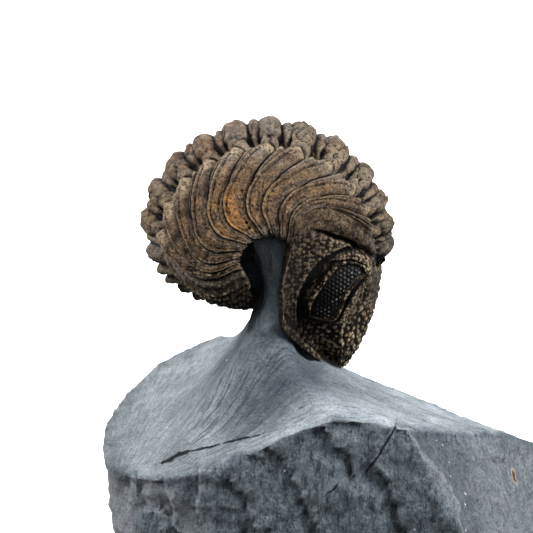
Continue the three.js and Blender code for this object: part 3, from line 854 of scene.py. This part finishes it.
def head_looks(a, s, base, field, fleck, trench, front):
    """The head's colours: dark gaps and pale granules, painted shade that blackens the lower and left cheek
    and the trench under each eye, and a broken pale line on the margin.
    """
    rolled = base - CURL
    x, z = rolled[..., 0], rolled[..., 2]
    limb = smooth(x, 9.6, 11.2)
    # Dark gaps between the granules, darker still lower down as painted shade.
    gaps = field * (1 - fleck) * (1 - 0.6 * limb) * ramp(z, 3.0, 0.0, 0.7, 1)
    margin_line = hump(a, 0.984, 0.011) * smooth(s, 0.0, 0.1) * smooth(s, 0.6, 0.45)
    margin_line = margin_line * ramp(noise(base, 0.9, 211, 2), -0.4, 0.3, 0.25, 0.75)
    # Painted shade: black low on the head and in the trench under each eye.
    dark = (lerp(painted_low_shade(base), 1.0, gaps) + 1.2 * trench) * (1 - 0.85 * margin_line)
    # Painted shade on the lower left cheek.
    dark += 0.24 * smooth(x, 6.5, 3.5) * smooth(z, 2.5, 0.0) * (1 - margin_line)
    mottled = 0.9 * smooth(noise(base, 0.7, 181, 4), -0.05, 0.35) * (1 - field)
    # Painted shade: fewer pale granules towards the head's left and on the lower left cheek.
    strength = lerp(1, 0.35, limb) * ramp(x, 2.5, 6.5, 0.22, 0.9) * lerp(0.8, 1.3, front)
    shaded_cheek = smooth(z, -2.5, -6.0) * smooth(x, 6.0, 3.5)
    strength = strength * lerp(1, 0.4, shaded_cheek)
    fleck = np.maximum(fleck * strength * (0.75 + 0.6 * noise(base, 1.2, 139, 2)), margin_line)
    dark = np.clip(dark + 0.45 * mottled, 0, 1)
    return dict(warm=0.34 - 0.34 * limb, dark=dark, fleck=np.clip(fleck, 0, 1))


def cephalon(material):
    """The head shield, with granules and with a trench under each eye."""
    w, s, base = shield_grid(HEAD, *HEAD_GRID)
    a = np.abs(w)
    furrow = np.interp(s, *zip(*HEAD_FURROW)) + 0.015 * noise(base, 2.0, 101)
    rear = np.interp(a, *zip(*BORDER_FURROW)) + 0.006 * noise(base, 1.5, 103)
    glabella = smooth(a, furrow + 0.01, furrow - 0.04)
    p, q, away = eye_place(base)
    upper = smooth(q - 0.25 * p, 0.2, 1.2)
    trench = hump(away, 0.3, 0.75) * (0.75 + 0.5 * noise(base, 1.1, 137, 2)) * (1 - upper)
    height = head_shape(a, s, furrow, rear) - 0.8 * trench
    coarse = grains(base, TUBERCLE, 71, 0.5)
    fine = grains(base, GRANULE, 83, 0.56)
    field = smooth(s, rear, rear + 0.03) * np.maximum(smooth(away, 0.45, 0.9), upper)
    front = smooth(s, 0.35, 0.6)
    coarse_share = np.maximum(glabella, smooth(s, 0.6, 0.72))
    tubercles = np.maximum(field, 0.4) * lerp(0.15 * fine, lerp(0.14, 0.26, front) * coarse, coarse_share)
    height = height + tubercles + 0.05 * noise(base, 0.45, 47, 2) + 0.12 * noise(base, 1.8, 59)
    fleck = np.maximum(field, 0.45) * lerp(smooth(fine, 0.25, 0.7), smooth(coarse, 0.4, 0.75), coarse_share)
    layers = head_looks(a, s, base, field, fleck, trench, front)
    return shield_piece("cephalon_shield", "cephalon", HEAD, w, s, base, height, material, **layers)


# Where one ring of the tail's axis ends and the next begins, as s; the first is a half ring.
TAIL_RINGS = [0.0, 0.07, 0.225, 0.33, 0.45, 0.56, 0.66, 0.75, 0.82]


def pygidium(material):
    """The tail shield: a ringed axis that ends in a point, and side lobes with swept ribs."""
    w, s, base = shield_grid(TAIL, *TAIL_GRID)
    a = np.abs(w)
    furrow = FURROW * np.sqrt(np.clip(1 - (s / 0.88) ** 2, 0, 1))
    axis = smooth(a, furrow + 0.015, furrow - 0.015)
    fine = grains(base, 0.4, 91, 0.5)
    place = np.interp(s, TAIL_RINGS, range(len(TAIL_RINGS)))
    across = 2 * (place - np.floor(place)) - 1
    rings = np.where(place < len(TAIL_RINGS) - 1, rounded(across * 1.04, 2.2, 0.6), 0.6)
    groove = ramp(s, 0.2, 0.6, 1.35, 0.75)
    height = axis * (groove * (rings - 1) - 0.5 * smooth(s, 0.08, 0.06) + 0.15 * noise(base, 0.9, 37, 2))
    ribs = np.cos(2 * np.pi * (place - 2.2 * smooth(a, 0.35, 0.8)))
    height += (1 - axis) * (smooth(s, 0.95, 0.6) * 0.17 * ribs - 0.3 * smooth(s, 0.12, 0.0))
    height -= 0.35 * hump(a, furrow + 0.02, 0.03) * smooth(s, 0.9, 0.75)
    height = height + 0.05 * noise(base, 0.45, 47, 2) + 0.1 * noise(base, 1.6, 109) + 0.1 * fine
    fleck = (1 - axis) * smooth(fine, 0.45, 0.75) * smooth(s, 0.0, 0.2)
    fleck = fleck * (0.75 + 0.8 * noise(base, 1.2, 139, 2)) * ramp(ribs, -0.2, 0.8, 0.5, 1.2)
    # Painted shade in the axial furrow, and low on the tail.
    furrowed = smooth(np.abs(a - furrow - 0.015), 0.035, 0.0) * smooth(s, 0.95, 0.8)
    dark = np.maximum(np.minimum(1.08 * painted_low_shade(base), 1), 0.95 * furrowed)
    layers = dict(warm=0.15, dark=dark, fleck=np.clip(fleck, 0, 1))
    return shield_piece("pygidium_shield", "pygidium", TAIL, w, s, base, height, material, **layers)


def distance_inside(p, q, outline):
    """Distance from (p, q) to a closed outline, positive inside it."""
    corners, _ = curve([*outline, outline[0]], np.linspace(0, 1, 97))
    a, b = corners[:-1], corners[1:]
    at = np.stack([p, q], -1)[..., None, :]
    edge = b - a
    share = np.clip(((at - a) * edge).sum(-1) / (edge * edge).sum(-1), 0, 1)
    distance = np.linalg.norm(at - a - share[..., None] * edge, axis=-1).min(-1)
    above = (a[:, 1] > q[..., None]) != (b[:, 1] > q[..., None])
    rise = np.where(np.abs(edge[:, 1]) < 1e-9, 1e-9, edge[:, 1])
    crossing = a[:, 0] + (q[..., None] - a[:, 1]) * edge[:, 0] / rise
    inside = (above & (p[..., None] < crossing)).sum(-1) % 2 == 1
    return np.where(inside, distance, -distance)


LENS_PITCH = 0.45
LENS_RADIUS = 0.15
ROW_PITCH = 0.866  # distance between close-packed rows, in pitches


def lens_bumps(x, z):
    """Round lenses in close-packed upright rows, from 0 between them to 1 on top."""
    rows = x / (LENS_PITCH * ROW_PITCH)
    row = np.round(rows)
    offset = z / LENS_PITCH - 0.5 * (row % 2)
    distance = np.hypot((rows - row) * ROW_PITCH, offset - np.round(offset)) * LENS_PITCH
    return np.sqrt(np.clip(1 - (distance / LENS_RADIUS) ** 2, 0, 1))


def eye_shape(p, q, x, z, inside, away, upper):
    """How far an eye stands out: a dome of lenses, with two raised rims below and the lobe above."""
    dome = -0.07 * p**2 - 0.12 * (q + 0.2) ** 2
    bumps = 0.1 * lens_bumps(x, z) * smooth(inside, 0.08, 0.2)
    beyond = outside_eye(p, q, np.stack([p, 0 * p, q], -1))
    rim = 0.3 * hump(away, 0.3, 0.32) - 0.28 * hump(away, 0.75, 0.24) + 0.22 * hump(away, 1.08, 0.26)
    low = rim - 0.1 * away - 2.8 * smooth(beyond, -0.25, 0.75)
    lobe = 0.28 * hump(away, 0.26, 0.26) - 0.32 * hump(away, 0.56, 0.2) + 0.2 * hump(away, 0.84, 0.24)
    high = lobe - 0.3 * away - 8.0 * smooth(away, 1.05, 3.2)
    return dome + bumps + lerp(low, high, upper)


def eye_beads(p, away, upper, place):
    """Small beads on the rims and the lobe, from 0 between them to 1 on top."""
    outer_ridge = lerp(0.6 * hump(away, 1.08, 0.3), smooth(away, 0.7, 0.95), upper)
    ridges = np.maximum(hump(away, 0.3, 0.42), outer_ridge)
    ridges = np.maximum(ridges, smooth(p, 2.0, 3.0))
    beads = smooth(away, 0.0, 0.12) * grains(place, 0.4, 97, 0.52)
    beads = beads * lerp(0.15, 1, ridges) * np.clip(0.85 + 0.6 * noise(place, 1.2, 139, 2), 0, 1)
    return beads * ramp(p, -3.9, -2.6, 0.3, 1)


def eye(side, name, lens, material):
    """An eye: a curved field of lenses with a raised rim below and the palpebral lobe above."""
    finer = np.linspace(-2.0, 1.8, 73)  # rows across the lenses are closer together
    across = np.concatenate([np.linspace(-3.2, -2.0, 57)[:-1], finer, np.linspace(1.8, 3.2, 72)[1:]])
    p, q = np.meshgrid(np.linspace(-5.4, 4.7, 181), across)
    inside = -outside_lenses(p, q, np.stack([p, 0 * p, q], -1))
    away = np.maximum(-inside, 0)
    x = p * np.cos(EYE_TILT) + q * np.sin(EYE_TILT)
    z = p * np.sin(EYE_TILT) - q * np.cos(EYE_TILT)
    upper = smooth(q - 0.25 * p, 0.0, 1.0)  # 1 on the palpebral side
    height = eye_shape(p, q, x, z, inside, away, upper)
    centre = CURL + np.array(EYE_CENTRE)
    place = np.stack([centre[0] + x, centre[1] + height, centre[2] + z], -1)
    beads = eye_beads(p, away, upper, place)
    height = height + 0.13 * beads + 0.09 * noise(place, 0.5, 47, 2) * smooth(away, 0.0, 0.2)
    height = height - 0.12 * hump(away, 0.0, 0.12)
    outer = np.stack([centre[0] + x, side * (centre[1] + height), centre[2] + z], -1)
    inner = outer.copy()
    inner[..., 1] = side * np.minimum(np.abs(outer[..., 1]) - 0.2, centre[1] - 5.5)
    vertices, faces = shell(outer[::side], inner[::side], INNER_STEP)
    hollow = blurred(height, 4) - height + 0.4 * (blurred(height, 16) - height)
    # Painted glints: which lenses get pale tops.
    lit_lenses = np.maximum(smooth(q, -0.7, 0.4), smooth(p, 1.0, 2.4))
    grids = dict(
        # The relief's hollows, painted in shade by the shell material; in the lens field they pick out the
        # lens tops.
        hollow=np.where(inside > 0, hollow, np.maximum(hollow, -0.04)),
        warm=0.25 + 0 * p,
        # Near black, the beads less dark higher up: painted shade lower down.
        dark=0.97 - 0.3 * smooth(beads, 0.2, 0.6) * smooth(z, -2.0, 3.0),
        fleck=np.where(inside > 0, lit_lenses, 1.2 * smooth(beads, 0.25, 0.65)),
    )
    layers = {key: on_shell(grid[::side], INNER_STEP) for key, grid in grids.items()}
    piece = add_piece(name, vertices, faces, material, "fossil_shell", "cephalon", **layers)
    piece.data.materials.append(lens)
    in_field = inside[::side][:-1, :-1] > 0.02
    index = np.zeros(len(piece.data.polygons), np.int32)
    index[: in_field.size] = in_field.ravel()
    piece.data.polygons.foreach_set("material_index", index)
    return piece


# ---- the rock ----

VOXEL = 0.305  # of the mesh that joins the rock's parts into one
CORE = 6.0  # half of the width in which rock fills the roll's rear part right through


def rim_table():
    """The block's rim and base, with RIM_STEPS points on each side of their outlines."""
    t = np.tile(np.arange(RIM_STEPS) / RIM_STEPS, len(RIM))[:, None]
    for outline in (np.array(RIM, float), np.array([(x, y, 0) for x, y in BASE], float)):
        here, after = (np.repeat(p, RIM_STEPS, 0) for p in (outline, np.roll(outline, -1, 0)))
        yield lerp(here, after, t)


def pillar_outline(rim, z, grow):
    """The pillar's outline at height z, point for point with the rim, widened by grow."""
    angle = np.arctan2(rim[:, 1] / RIM_HALF[1], (rim[:, 0] - PILLAR["x"]) / RIM_HALF[0])
    c, s = np.cos(angle), np.sin(angle)
    k = PILLAR["corner"]
    r = (np.abs(c) ** k + np.abs(s) ** k) ** (-1 / k)
    x = PILLAR["x"] + (PILLAR["half_x"] + grow) * r * c
    return np.stack([x, PILLAR["half_y"] * r * s, np.full(len(rim), z)], -1)


def block_rings():
    """Rings of the block, from the middle of its base over the rim to the top of the pillar."""
    rim, base = rim_table()
    foot = pillar_outline(rim, PILLAR["foot"], PILLAR["foot_flare"])
    bottom, top = (np.tile([PILLAR["x"], 0, z], (len(rim), 1)) for z in (0, PILLAR["top"]))
    rings = [bottom] + [lerp(base, rim, t) for t in np.linspace(0, 1, 13)]
    bend = ramp(rim[:, 0], 2, -8, 1.3, 1.7)  # the slope is more hollow on the left
    for share in np.linspace(0, 1, 25)[1:]:
        ring = lerp(rim, foot, share)
        rise = (1 - FOOT_SHARE) * share**bend + FOOT_SHARE * share**6
        ring[:, 2] = lerp(rim[:, 2], foot[:, 2], rise)
        rings.append(ring)
    heights = [*WAIST, (PILLAR["top"], PILLAR["top_flare"])]
    rings += [pillar_outline(rim, z, grow) for z, grow in heights]
    return np.array(rings + [top])


def filling(shape, depth, reach, end):
    """A body that fills a shield from depth to the upright plane through the pillar."""
    w, s = np.meshgrid(np.linspace(-reach, reach, 61), np.linspace(0, end, 41))
    outer = shield_point(shape, w, s, depth)
    inner = outer.copy()
    inner[..., 0] = PILLAR["x"]
    return shell(outer[:: shape["hand"]], inner[:: shape["hand"]])


def thorax_filling(depth, reach):
    """The rock inside the rolled thorax: close to the curl axis under the head, hollowed out further back."""
    angle = np.linspace(HEAD_EDGE - 6, TAIL_EDGE + 2, 81)[:, None]
    w = np.linspace(-1, 1, 61)[None, :] * lerp(reach, 0.8, smooth(angle, 80, 112))
    outer = body_point(w, angle, depth)
    inner = lerp(outer[:, :1], outer[:, -1:], np.linspace(0, 1, 61)[None, :, None])
    axle = inner * [0, 1, 0] + CURL * [1, 0, 1]
    hub = lerp(1.0, 0.4, smooth(angle, 85, 118) * smooth(np.abs(inner[..., 1]), CORE, CORE + 1.5))
    return shell(outer, lerp(inner, axle, hub[..., None]))


def joined(parts):
    """One closed mesh round all the parts, as vertices and quads in millimetres."""
    count, points, faces = 0, [], []
    for p, f in parts:
        points.append(p)
        faces.append(f + count)
        count += len(p)
    mesh = mesh_from("rock_parts", np.concatenate(points), np.concatenate(faces))
    made = placed("rock_parts", mesh)
    remesh = made.modifiers.new("join", "REMESH")
    remesh.mode = "VOXEL"
    remesh.voxel_size = VOXEL
    bpy.context.view_layer.update()
    result = made.evaluated_get(bpy.context.evaluated_depsgraph_get()).to_mesh()
    co = np.zeros(len(result.vertices) * 3, np.float32)
    result.vertices.foreach_get("co", co)
    corners = np.zeros(len(result.loops), np.int32)
    result.loops.foreach_get("vertex_index", corners)
    made.to_mesh_clear()
    bpy.data.objects.remove(made)
    bpy.data.meshes.remove(mesh)
    return co.reshape(-1, 3).astype(float), corners.reshape(-1, 4)


def edges_of(faces):
    """Each edge of the quads once, as a pair of vertices."""
    pairs = np.concatenate([faces[:, [k, (k + 1) % 4]] for k in range(4)])
    return np.unique(np.sort(pairs, axis=1), axis=0)


def relaxed(values, edges, steps):
    """Values at the vertices, averaged with their neighbours steps times."""
    n = len(values)
    flat = values.reshape(n, -1)
    count = np.bincount(edges.ravel(), minlength=n)[:, None]
    a, b = edges.T
    for _ in range(steps):
        total = np.stack([np.bincount(a, v[b], n) + np.bincount(b, v[a], n) for v in flat.T], -1)
        flat = 0.5 * flat + 0.5 * total / np.maximum(count, 1)
    return flat.reshape(values.shape)


def vertex_normals(points, faces):
    """Unit normals at the vertices, from the areas of the quads round them."""
    p = points[faces]
    face = np.cross(p[:, 2] - p[:, 0], p[:, 3] - p[:, 1])
    total = np.stack([sum(np.bincount(f, v, len(points)) for f in faces.T) for v in face.T], -1)
    return total / np.maximum(np.linalg.norm(total, axis=1, keepdims=True), 1e-12)


def rim_height(points):
    """Height of the block's rim in the direction of each point, seen from the pillar."""
    rim, _ = rim_table()
    angles = np.arctan2(rim[:, 1], rim[:, 0] - PILLAR["x"])
    order = np.argsort(angles)
    here = np.arctan2(points[:, 1], points[:, 0] - PILLAR["x"])
    return np.interp(here, angles[order], rim[order, 2], period=2 * np.pi)


# Lines on the block's front, which slope down through the stone: points (across, up), up being where
# they would meet the plane y = 0. First the open cracks, then the edge where the right facet begins.
CRACKS = [
    [(2.65, 10.3), (3.8, 12.0), (4.6, 13.4), (5.5, 14.9)],
    [(-18.1, 10.9), (-15.5, 12.0), (-13.9, 12.5), (-12.0, 12.8), (-10.1, 13.4), (-7.6, 14.1)],
    [(-1.1, 8.2), (-0.6, 8.5), (-0.2, 9.0)],
]
FACET_EDGE = [
    (6.6, 15.6), (8.0, 13.0), (9.0, 11.2), (10.6, 9.8), (11.2, 8.1), (11.7, 6.3), (12.6, 2.5), (13.4, -3),
]
STEPS = [  # where the broken face drops a little, on the right of the line seen from its first point
    [(-16.9, 4.6), (-18.0, 5.3), (-18.8, 6.0), (-20.2, 6.4), (-20.9, 7.3), (-21.0, 9.8)],
    [(-18.2, 10.2), (-17.9, 8.1), (-17.4, 6.7), (-17.1, 5.3), (-16.2, 3.0), (-16.0, 0.0)],
    [(-14.3, 10.8), (-14.3, 8.1), (-14.7, 6.5), (-14.1, 4.5), (-14.4, 1.0)],
    [(-4.6, 9.4), (-3.9, 8.0), (-3.3, 6.3), (-2.2, 4.2), (-2.0, 1.0)],
    [(-8.4, 13.6), (-7.2, 12.9), (-6.2, 11.6)],
    [(3.6, 10.6), (5.0, 9.0), (5.6, 6.7), (7.2, 3.4)],
    [(-10.8, 8.6), (-9.6, 7.4), (-9.2, 5.2), (-8.2, 2.6)],
    [(-1.4, 14.4), (-0.6, 12.8), (0.9, 11.8), (1.2, 10.6)],
]
STEP = 0.5  # height of a drop
CRACK_LEAN = 0.19  # how much higher a line runs for each millimetre that the front stands forward
# A rusty nodule in the right face: its middle, the directions along the face, out of it and up as
# columns, and how far it reaches in each.
RUST = dict(
    at=np.array([19.1, -5.1, 9.7]),
    axes=np.array([[0.65, 0.76, 0], [0.76, -0.65, 0], [0, 0, 1.0]]),
    size=np.array([0.5, 2.0, 0.85]),
)
LEFT_TIP = (-22.8, 11.3)  # (x, z) of the left end of the rim, which gets painted shade
STROKES_FROM = (-23.5, -15.5)  # the corner that the brush strokes on the worked slope fan out from
CREST = [(12, -128), (17, -127), (21, -114), (25, -97), (28, -88)]  # (height, direction from the pillar)
CREST_HEIGHT = 1.4


def line_distance(points, line):
    """Signed distance from each point of the block's front to a line on it, and beyond its ends."""
    line = np.array(line)
    at = points[:, [0, 2]] + [0, CRACK_LEAN] * points[:, [1]] + 0.25 * noise(points, 1.2, 157, 2)[:, None]
    best = np.full(len(points), 9.0)
    for a, b in zip(line[:-1], line[1:]):
        edge = b - a
        share = np.clip((at - a) @ edge / (edge @ edge), 0, 1)
        x, z = (at - a - share[:, None] * edge).T
        distance = np.hypot(x, z) * np.where(z * edge[0] > x * edge[1], 1, -1)
        best = np.where(np.abs(distance) < np.abs(best), distance, best)
    return np.where(points[:, 1] < -8, best, 9.0)


def crest_height(radial, z):
    """The worked slope's crest, which runs from the pillar's front edge down to the front left corner."""
    angle = np.degrees(np.arctan2(radial[:, 1], radial[:, 0]))
    off = (angle - np.interp(z, *zip(*CREST)) + 180) % 360 - 180
    length = smooth(z, 11, 15) * smooth(z, 31, 27)
    return length * (np.clip(1 - np.abs(off) / 30, 0, 1) - 0.35 * hump(off, 48, 26))


def broken_face(points, above, edge):
    """Heights of the broken stone: facets with creases and crumbs, and the small drops on the front."""
    spot, number = scatter(points + 0.8 * noise(points, 3, 7)[:, None], 3.2, 11)
    creases = 1 - 2 * np.abs(noise(points * [1, 1, 1.3], 3.6, 151, 3))
    slanted = points @ np.array([[0.8, 0, 0.3], [0, 1, 0], [-0.6, 0, 0.4]])
    facets = noise(points, 6.5, 13, 3) * 0.6 + 0.3 * (number - 0.5) * smooth(spot, 0.9, 0.5) - 0.3 * creases
    facets += 0.45 * (0.5 - np.abs(noise(slanted, 1.5, 179, 3)))
    uneven = 0.35 * noise(points, 1.6, 193, 3)
    for line in STEPS:
        off = uneven - line_distance(points, line)
        facets -= STEP * smooth(off, -0.1, 0.15) * smooth(off, 2.2, 0.3)
    facets += 0.3 * hump(edge, -0.1, 0.5)
    return facets * lerp(1, smooth(above, -0.2, -2.5), smooth(points[:, 1], -12, -7))


def rock_relief(points, above, worked, edge, radial, strokes):
    """How far the surface stands off the plain block: broken below the rim, brushed above it."""
    _, y, z = points.T
    chipped = 0.35 * smooth(noise(points, 2.4, 163, 2), 0, 0.5) * hump(above, -0.6, 1.6) * smooth(y, -6, -12)
    brushed = 0.14 * noise(strokes, 1.0, 19, 3) + 0.3 * noise(points, 4, 23, 3)
    height = lerp(broken_face(points, above, edge), brushed, worked) - chipped
    height += 0.07 * noise(points, 0.7, 29, 2)
    height = height * ramp(z, 21, 24, 1, 0.3) * smooth(z, 0.3, 2.5)
    return height + CREST_HEIGHT * crest_height(radial, z)


def roll_hollow(points):
    """Painted shade on the rock: deep inside the roll, and where the plates cover it."""
    x, y, z = (points - CURL).T
    reach = np.hypot(x, z)
    inside_from = ramp(z, -3.6, 0.0, -0.2, -1.2)
    inside = smooth(reach, 9, 6) * smooth(inside_from - x, 0.0, 0.7)
    buried = smooth(reach, 8.4, 9.0) * smooth(reach, 13.4, 13.0) * smooth(z, -7, -6)
    return 0.8 * inside * smooth(y * y, 100, 60), buried


def rock_shade(points, radial, distance, bearing, wedge):
    """Painted shade on the stone: round the pillar and before it, beside the right facet, and at the rim's
    left tip.
    """
    x, _, z = points.T
    shade = smooth(np.hypot(radial[:, 0], 0.75 * radial[:, 1]), 10, 4) * ramp(z, 21, 25, 0.75, 1.0)
    shade = np.maximum(shade, 0.9 * (hump(bearing, -76, 58) * smooth(distance, 16.0, 11.5)))
    shade = np.maximum(shade, 0.4 * wedge)
    tip = np.hypot(x - LEFT_TIP[0], z - LEFT_TIP[1]) + 0.6 * noise(points, 1.5, 223, 2)
    shade = np.maximum(shade, 0.38 * smooth(tip, 2.4, 0.6))
    return np.clip(shade * (0.95 + 0.25 * noise(points, 3.0, 113, 2)), 0, 1)


def painted_light_faces_and_chip(points, facing, chip):
    """Where the broken stone is plain and paler: painted light on the left side and the right face, which
    turn to the side lamps, a little more to the left, and the front's lower left chip.
    """
    x = points[:, 0]
    left_side = smooth(-facing[:, 0], 0.5, 0.8) * smooth(x, -20.6, -21.6)
    right_side = smooth(facing @ np.array([0.85, -0.53, 0]), 0.8, 0.95)
    plain = np.maximum(0.8 * left_side, 0.4 * right_side) + 0.07 * smooth(x, -8, -14)
    return np.maximum(plain, 0.6 * smooth(chip, 0.0, 0.3) * smooth(chip, 3.2, 2.0))


def matrix_rock(material):
    """The limestone: the block, its pillar and the rock that fills the roll, as one body."""
    rings = block_rings()
    block = band(np.concatenate([rings, rings[:, :1]], 1).transpose(1, 0, 2)[:-1])
    in_head = filling(HEAD, depth=1.8, reach=0.97, end=0.9)
    in_tail = filling(TAIL, depth=0.7, reach=0.42, end=1.0)
    points, faces = joined([block, in_head, in_tail, thorax_filling(depth=2.4, reach=0.95)])
    edges = edges_of(faces)
    points = relaxed(points, edges, 2)
    out = vertex_normals(points, faces)
    above = points[:, 2] - rim_height(points)
    worked = smooth(above + 0.4 * noise(points, 1.5, 5), -0.5, 0.4)
    radial = points[:, :2] - [PILLAR["x"], 0]
    distance = np.hypot(radial[:, 0], radial[:, 1])
    bearing = np.degrees(np.arctan2(radial[:, 1], radial[:, 0]))
    swept = points[:, :2] - STROKES_FROM
    fan = np.arctan2(swept[:, 1], swept[:, 0])
    strokes = np.stack([np.hypot(swept[:, 0], swept[:, 1]) / 7, 30 * np.abs(fan), points[:, 2] * 0.3], -1)
    edge = line_distance(points, FACET_EDGE)
    # The wedge beside the right facet: painted shade there, and more calcite flecks.
    wedge = smooth(edge, 4.5, 1.5) * smooth(edge, -0.2, 0.2) * (1 - worked)
    height = rock_relief(points, above, worked, edge, radial, strokes)
    points = points + out * height[:, None]
    points[:, 2] = np.where(points[:, 2] < 0.3, 0, points[:, 2])
    x, _, z = points.T
    inside, buried = roll_hollow(points)
    cracks = np.stack([line_distance(points, line) for line in CRACKS], -1)
    cracks[:, 1] *= ramp(x, -16, -12, 0.55, 1.2)
    chip = -line_distance(points, STEPS[0])
    rust = np.linalg.norm((points - RUST["at"]) @ RUST["axes"] / RUST["size"], axis=-1)
    beside_crest = bearing - np.interp(z, *zip(*CREST))
    layers = dict(
        worked=worked,
        # Painted shade in the relief's hollows, in the roll and under the plates; painted highlight on bumps.
        hollow=relaxed(height, edges, 6) - height + inside + buried,
        strokes=strokes,
        shade=rock_shade(points, radial, distance, bearing, wedge),
        cracks=cracks,
        rust=rust + 0.25 * noise(points, 0.8, 167),
        edge=np.minimum(np.abs(edge), np.abs(chip) + 0.1),
        chips=wedge * smooth(edge, 3.0, 0.5),
        scratched=0.12 + 0.7 * hump(beside_crest, 4, 46) * smooth(distance, 24, 14) * smooth(distance, 4, 10),
        plain=painted_light_faces_and_chip(points, relaxed(out, edges, 12), chip),
        brushing=ramp(distance, 4, 9, 0.3, 1) * ramp(z, 27, 23, 0.3, 1),
    )
    return add_piece("limestone_matrix", points, faces, material, "limestone", "matrix_rock", **layers)


# ---- stage ----

ELEVATION = math.radians(11)
DISTANCE = 260  # from the camera to the plane of the curl axis
VIEW_WIDTH = 56.5  # what the picture's width spans at that distance
AIM = (-0.16, -0.46, -2.34)  # the picture's middle, from the curl axis
SENSOR = 36  # width of the camera's sensor
# Round lamps: name, direction from the curl axis, distance and diameter in metres, watts.
LAMPS = [
    ("top", (-0.1, 0.0, 1), 0.5, 0.4, 1.15),
    ("left", (-1, -0.1, 0.6), 0.5, 0.3, 4.2),
    ("right", (1, -0.3, 0.6), 0.5, 0.3, 5.6),
    ("front", (0.0, -1, 0.5), 0.6, 0.4, 1.25),
    ("back", (-0.2, 1, 0.4), 0.6, 0.4, 1.6),
]
FLOOR_HALF = 4.0  # half of the floor's width, in metres
FLOOR_GLOW = 0.9
WORLD_GLOW = 0.06


def add_camera():
    """A far camera with a long lens, which looks slightly down on the roll's side."""
    data = bpy.data.cameras.new("camera")
    data.sensor_width = SENSOR
    data.lens = SENSOR * DISTANCE / VIEW_WIDTH
    data.clip_start = 0.01
    data.clip_end = 10
    camera = placed("camera", data)
    back = np.array([0, -math.cos(ELEVATION), math.sin(ELEVATION)])
    camera.location = in_frame(CURL + AIM + back * DISTANCE)
    camera.rotation_euler = (math.pi / 2 - ELEVATION, 0, 0)
    bpy.context.scene.camera = camera


def add_lamp(name, direction, distance, size, watts):
    """A round lamp that faces the curl axis."""
    data = bpy.data.lights.new(name, "AREA")
    data.shape = "DISK"
    data.size = size
    data.energy = watts
    lamp = placed(name, data)
    way = Vector(direction).normalized()
    lamp.location = Vector(in_frame(CURL)) + way * distance
    lamp.rotation_euler = way.to_track_quat("Z", "Y").to_euler()


def add_floor():
    """A wide white floor that glows, so that it stays white round the rock."""
    white = (1, 1, 1, 1)
    looks = {
        "Base Color": white,
        "Roughness": 1,
        "Specular IOR Level": 0,
        "Emission Color": white,
        "Emission Strength": FLOOR_GLOW,
    }
    mesh = bpy.data.meshes.new("floor")
    corners = [(x * FLOOR_HALF, y * FLOOR_HALF, 0) for x, y in ((-1, -1), (1, -1), (1, 1), (-1, 1))]
    mesh.from_pydata(corners, [], [(0, 1, 2, 3)])
    mesh.materials.append(Nodes("pale_floor").finished(looks))
    floor = placed("floor", mesh)
    floor.visible_diffuse = False
    floor.visible_glossy = False


def add_world():
    """Faint white light from all round."""
    world = bpy.data.worlds.new("studio")
    world.use_nodes = True
    background = world.node_tree.nodes["Background"]
    background.inputs["Color"].default_value = (1, 1, 1, 1)
    background.inputs["Strength"].default_value = WORLD_GLOW
    bpy.context.scene.world = world


add_camera()
add_floor()
add_world()
for lamp_values in LAMPS:
    add_lamp(*lamp_values)
bpy.context.scene.view_settings.view_transform = "Standard"

shell_look = shell_material()
lens_look = lens_material()
matrix_rock(rock_material())
for number in range(1, SEGMENTS + 1):
    segment(number, shell_look)
cephalon(shell_look)
pygidium(shell_look)
eye(-1, "eye_right", lens_look, shell_look)
eye(1, "eye_left", lens_look, shell_look)
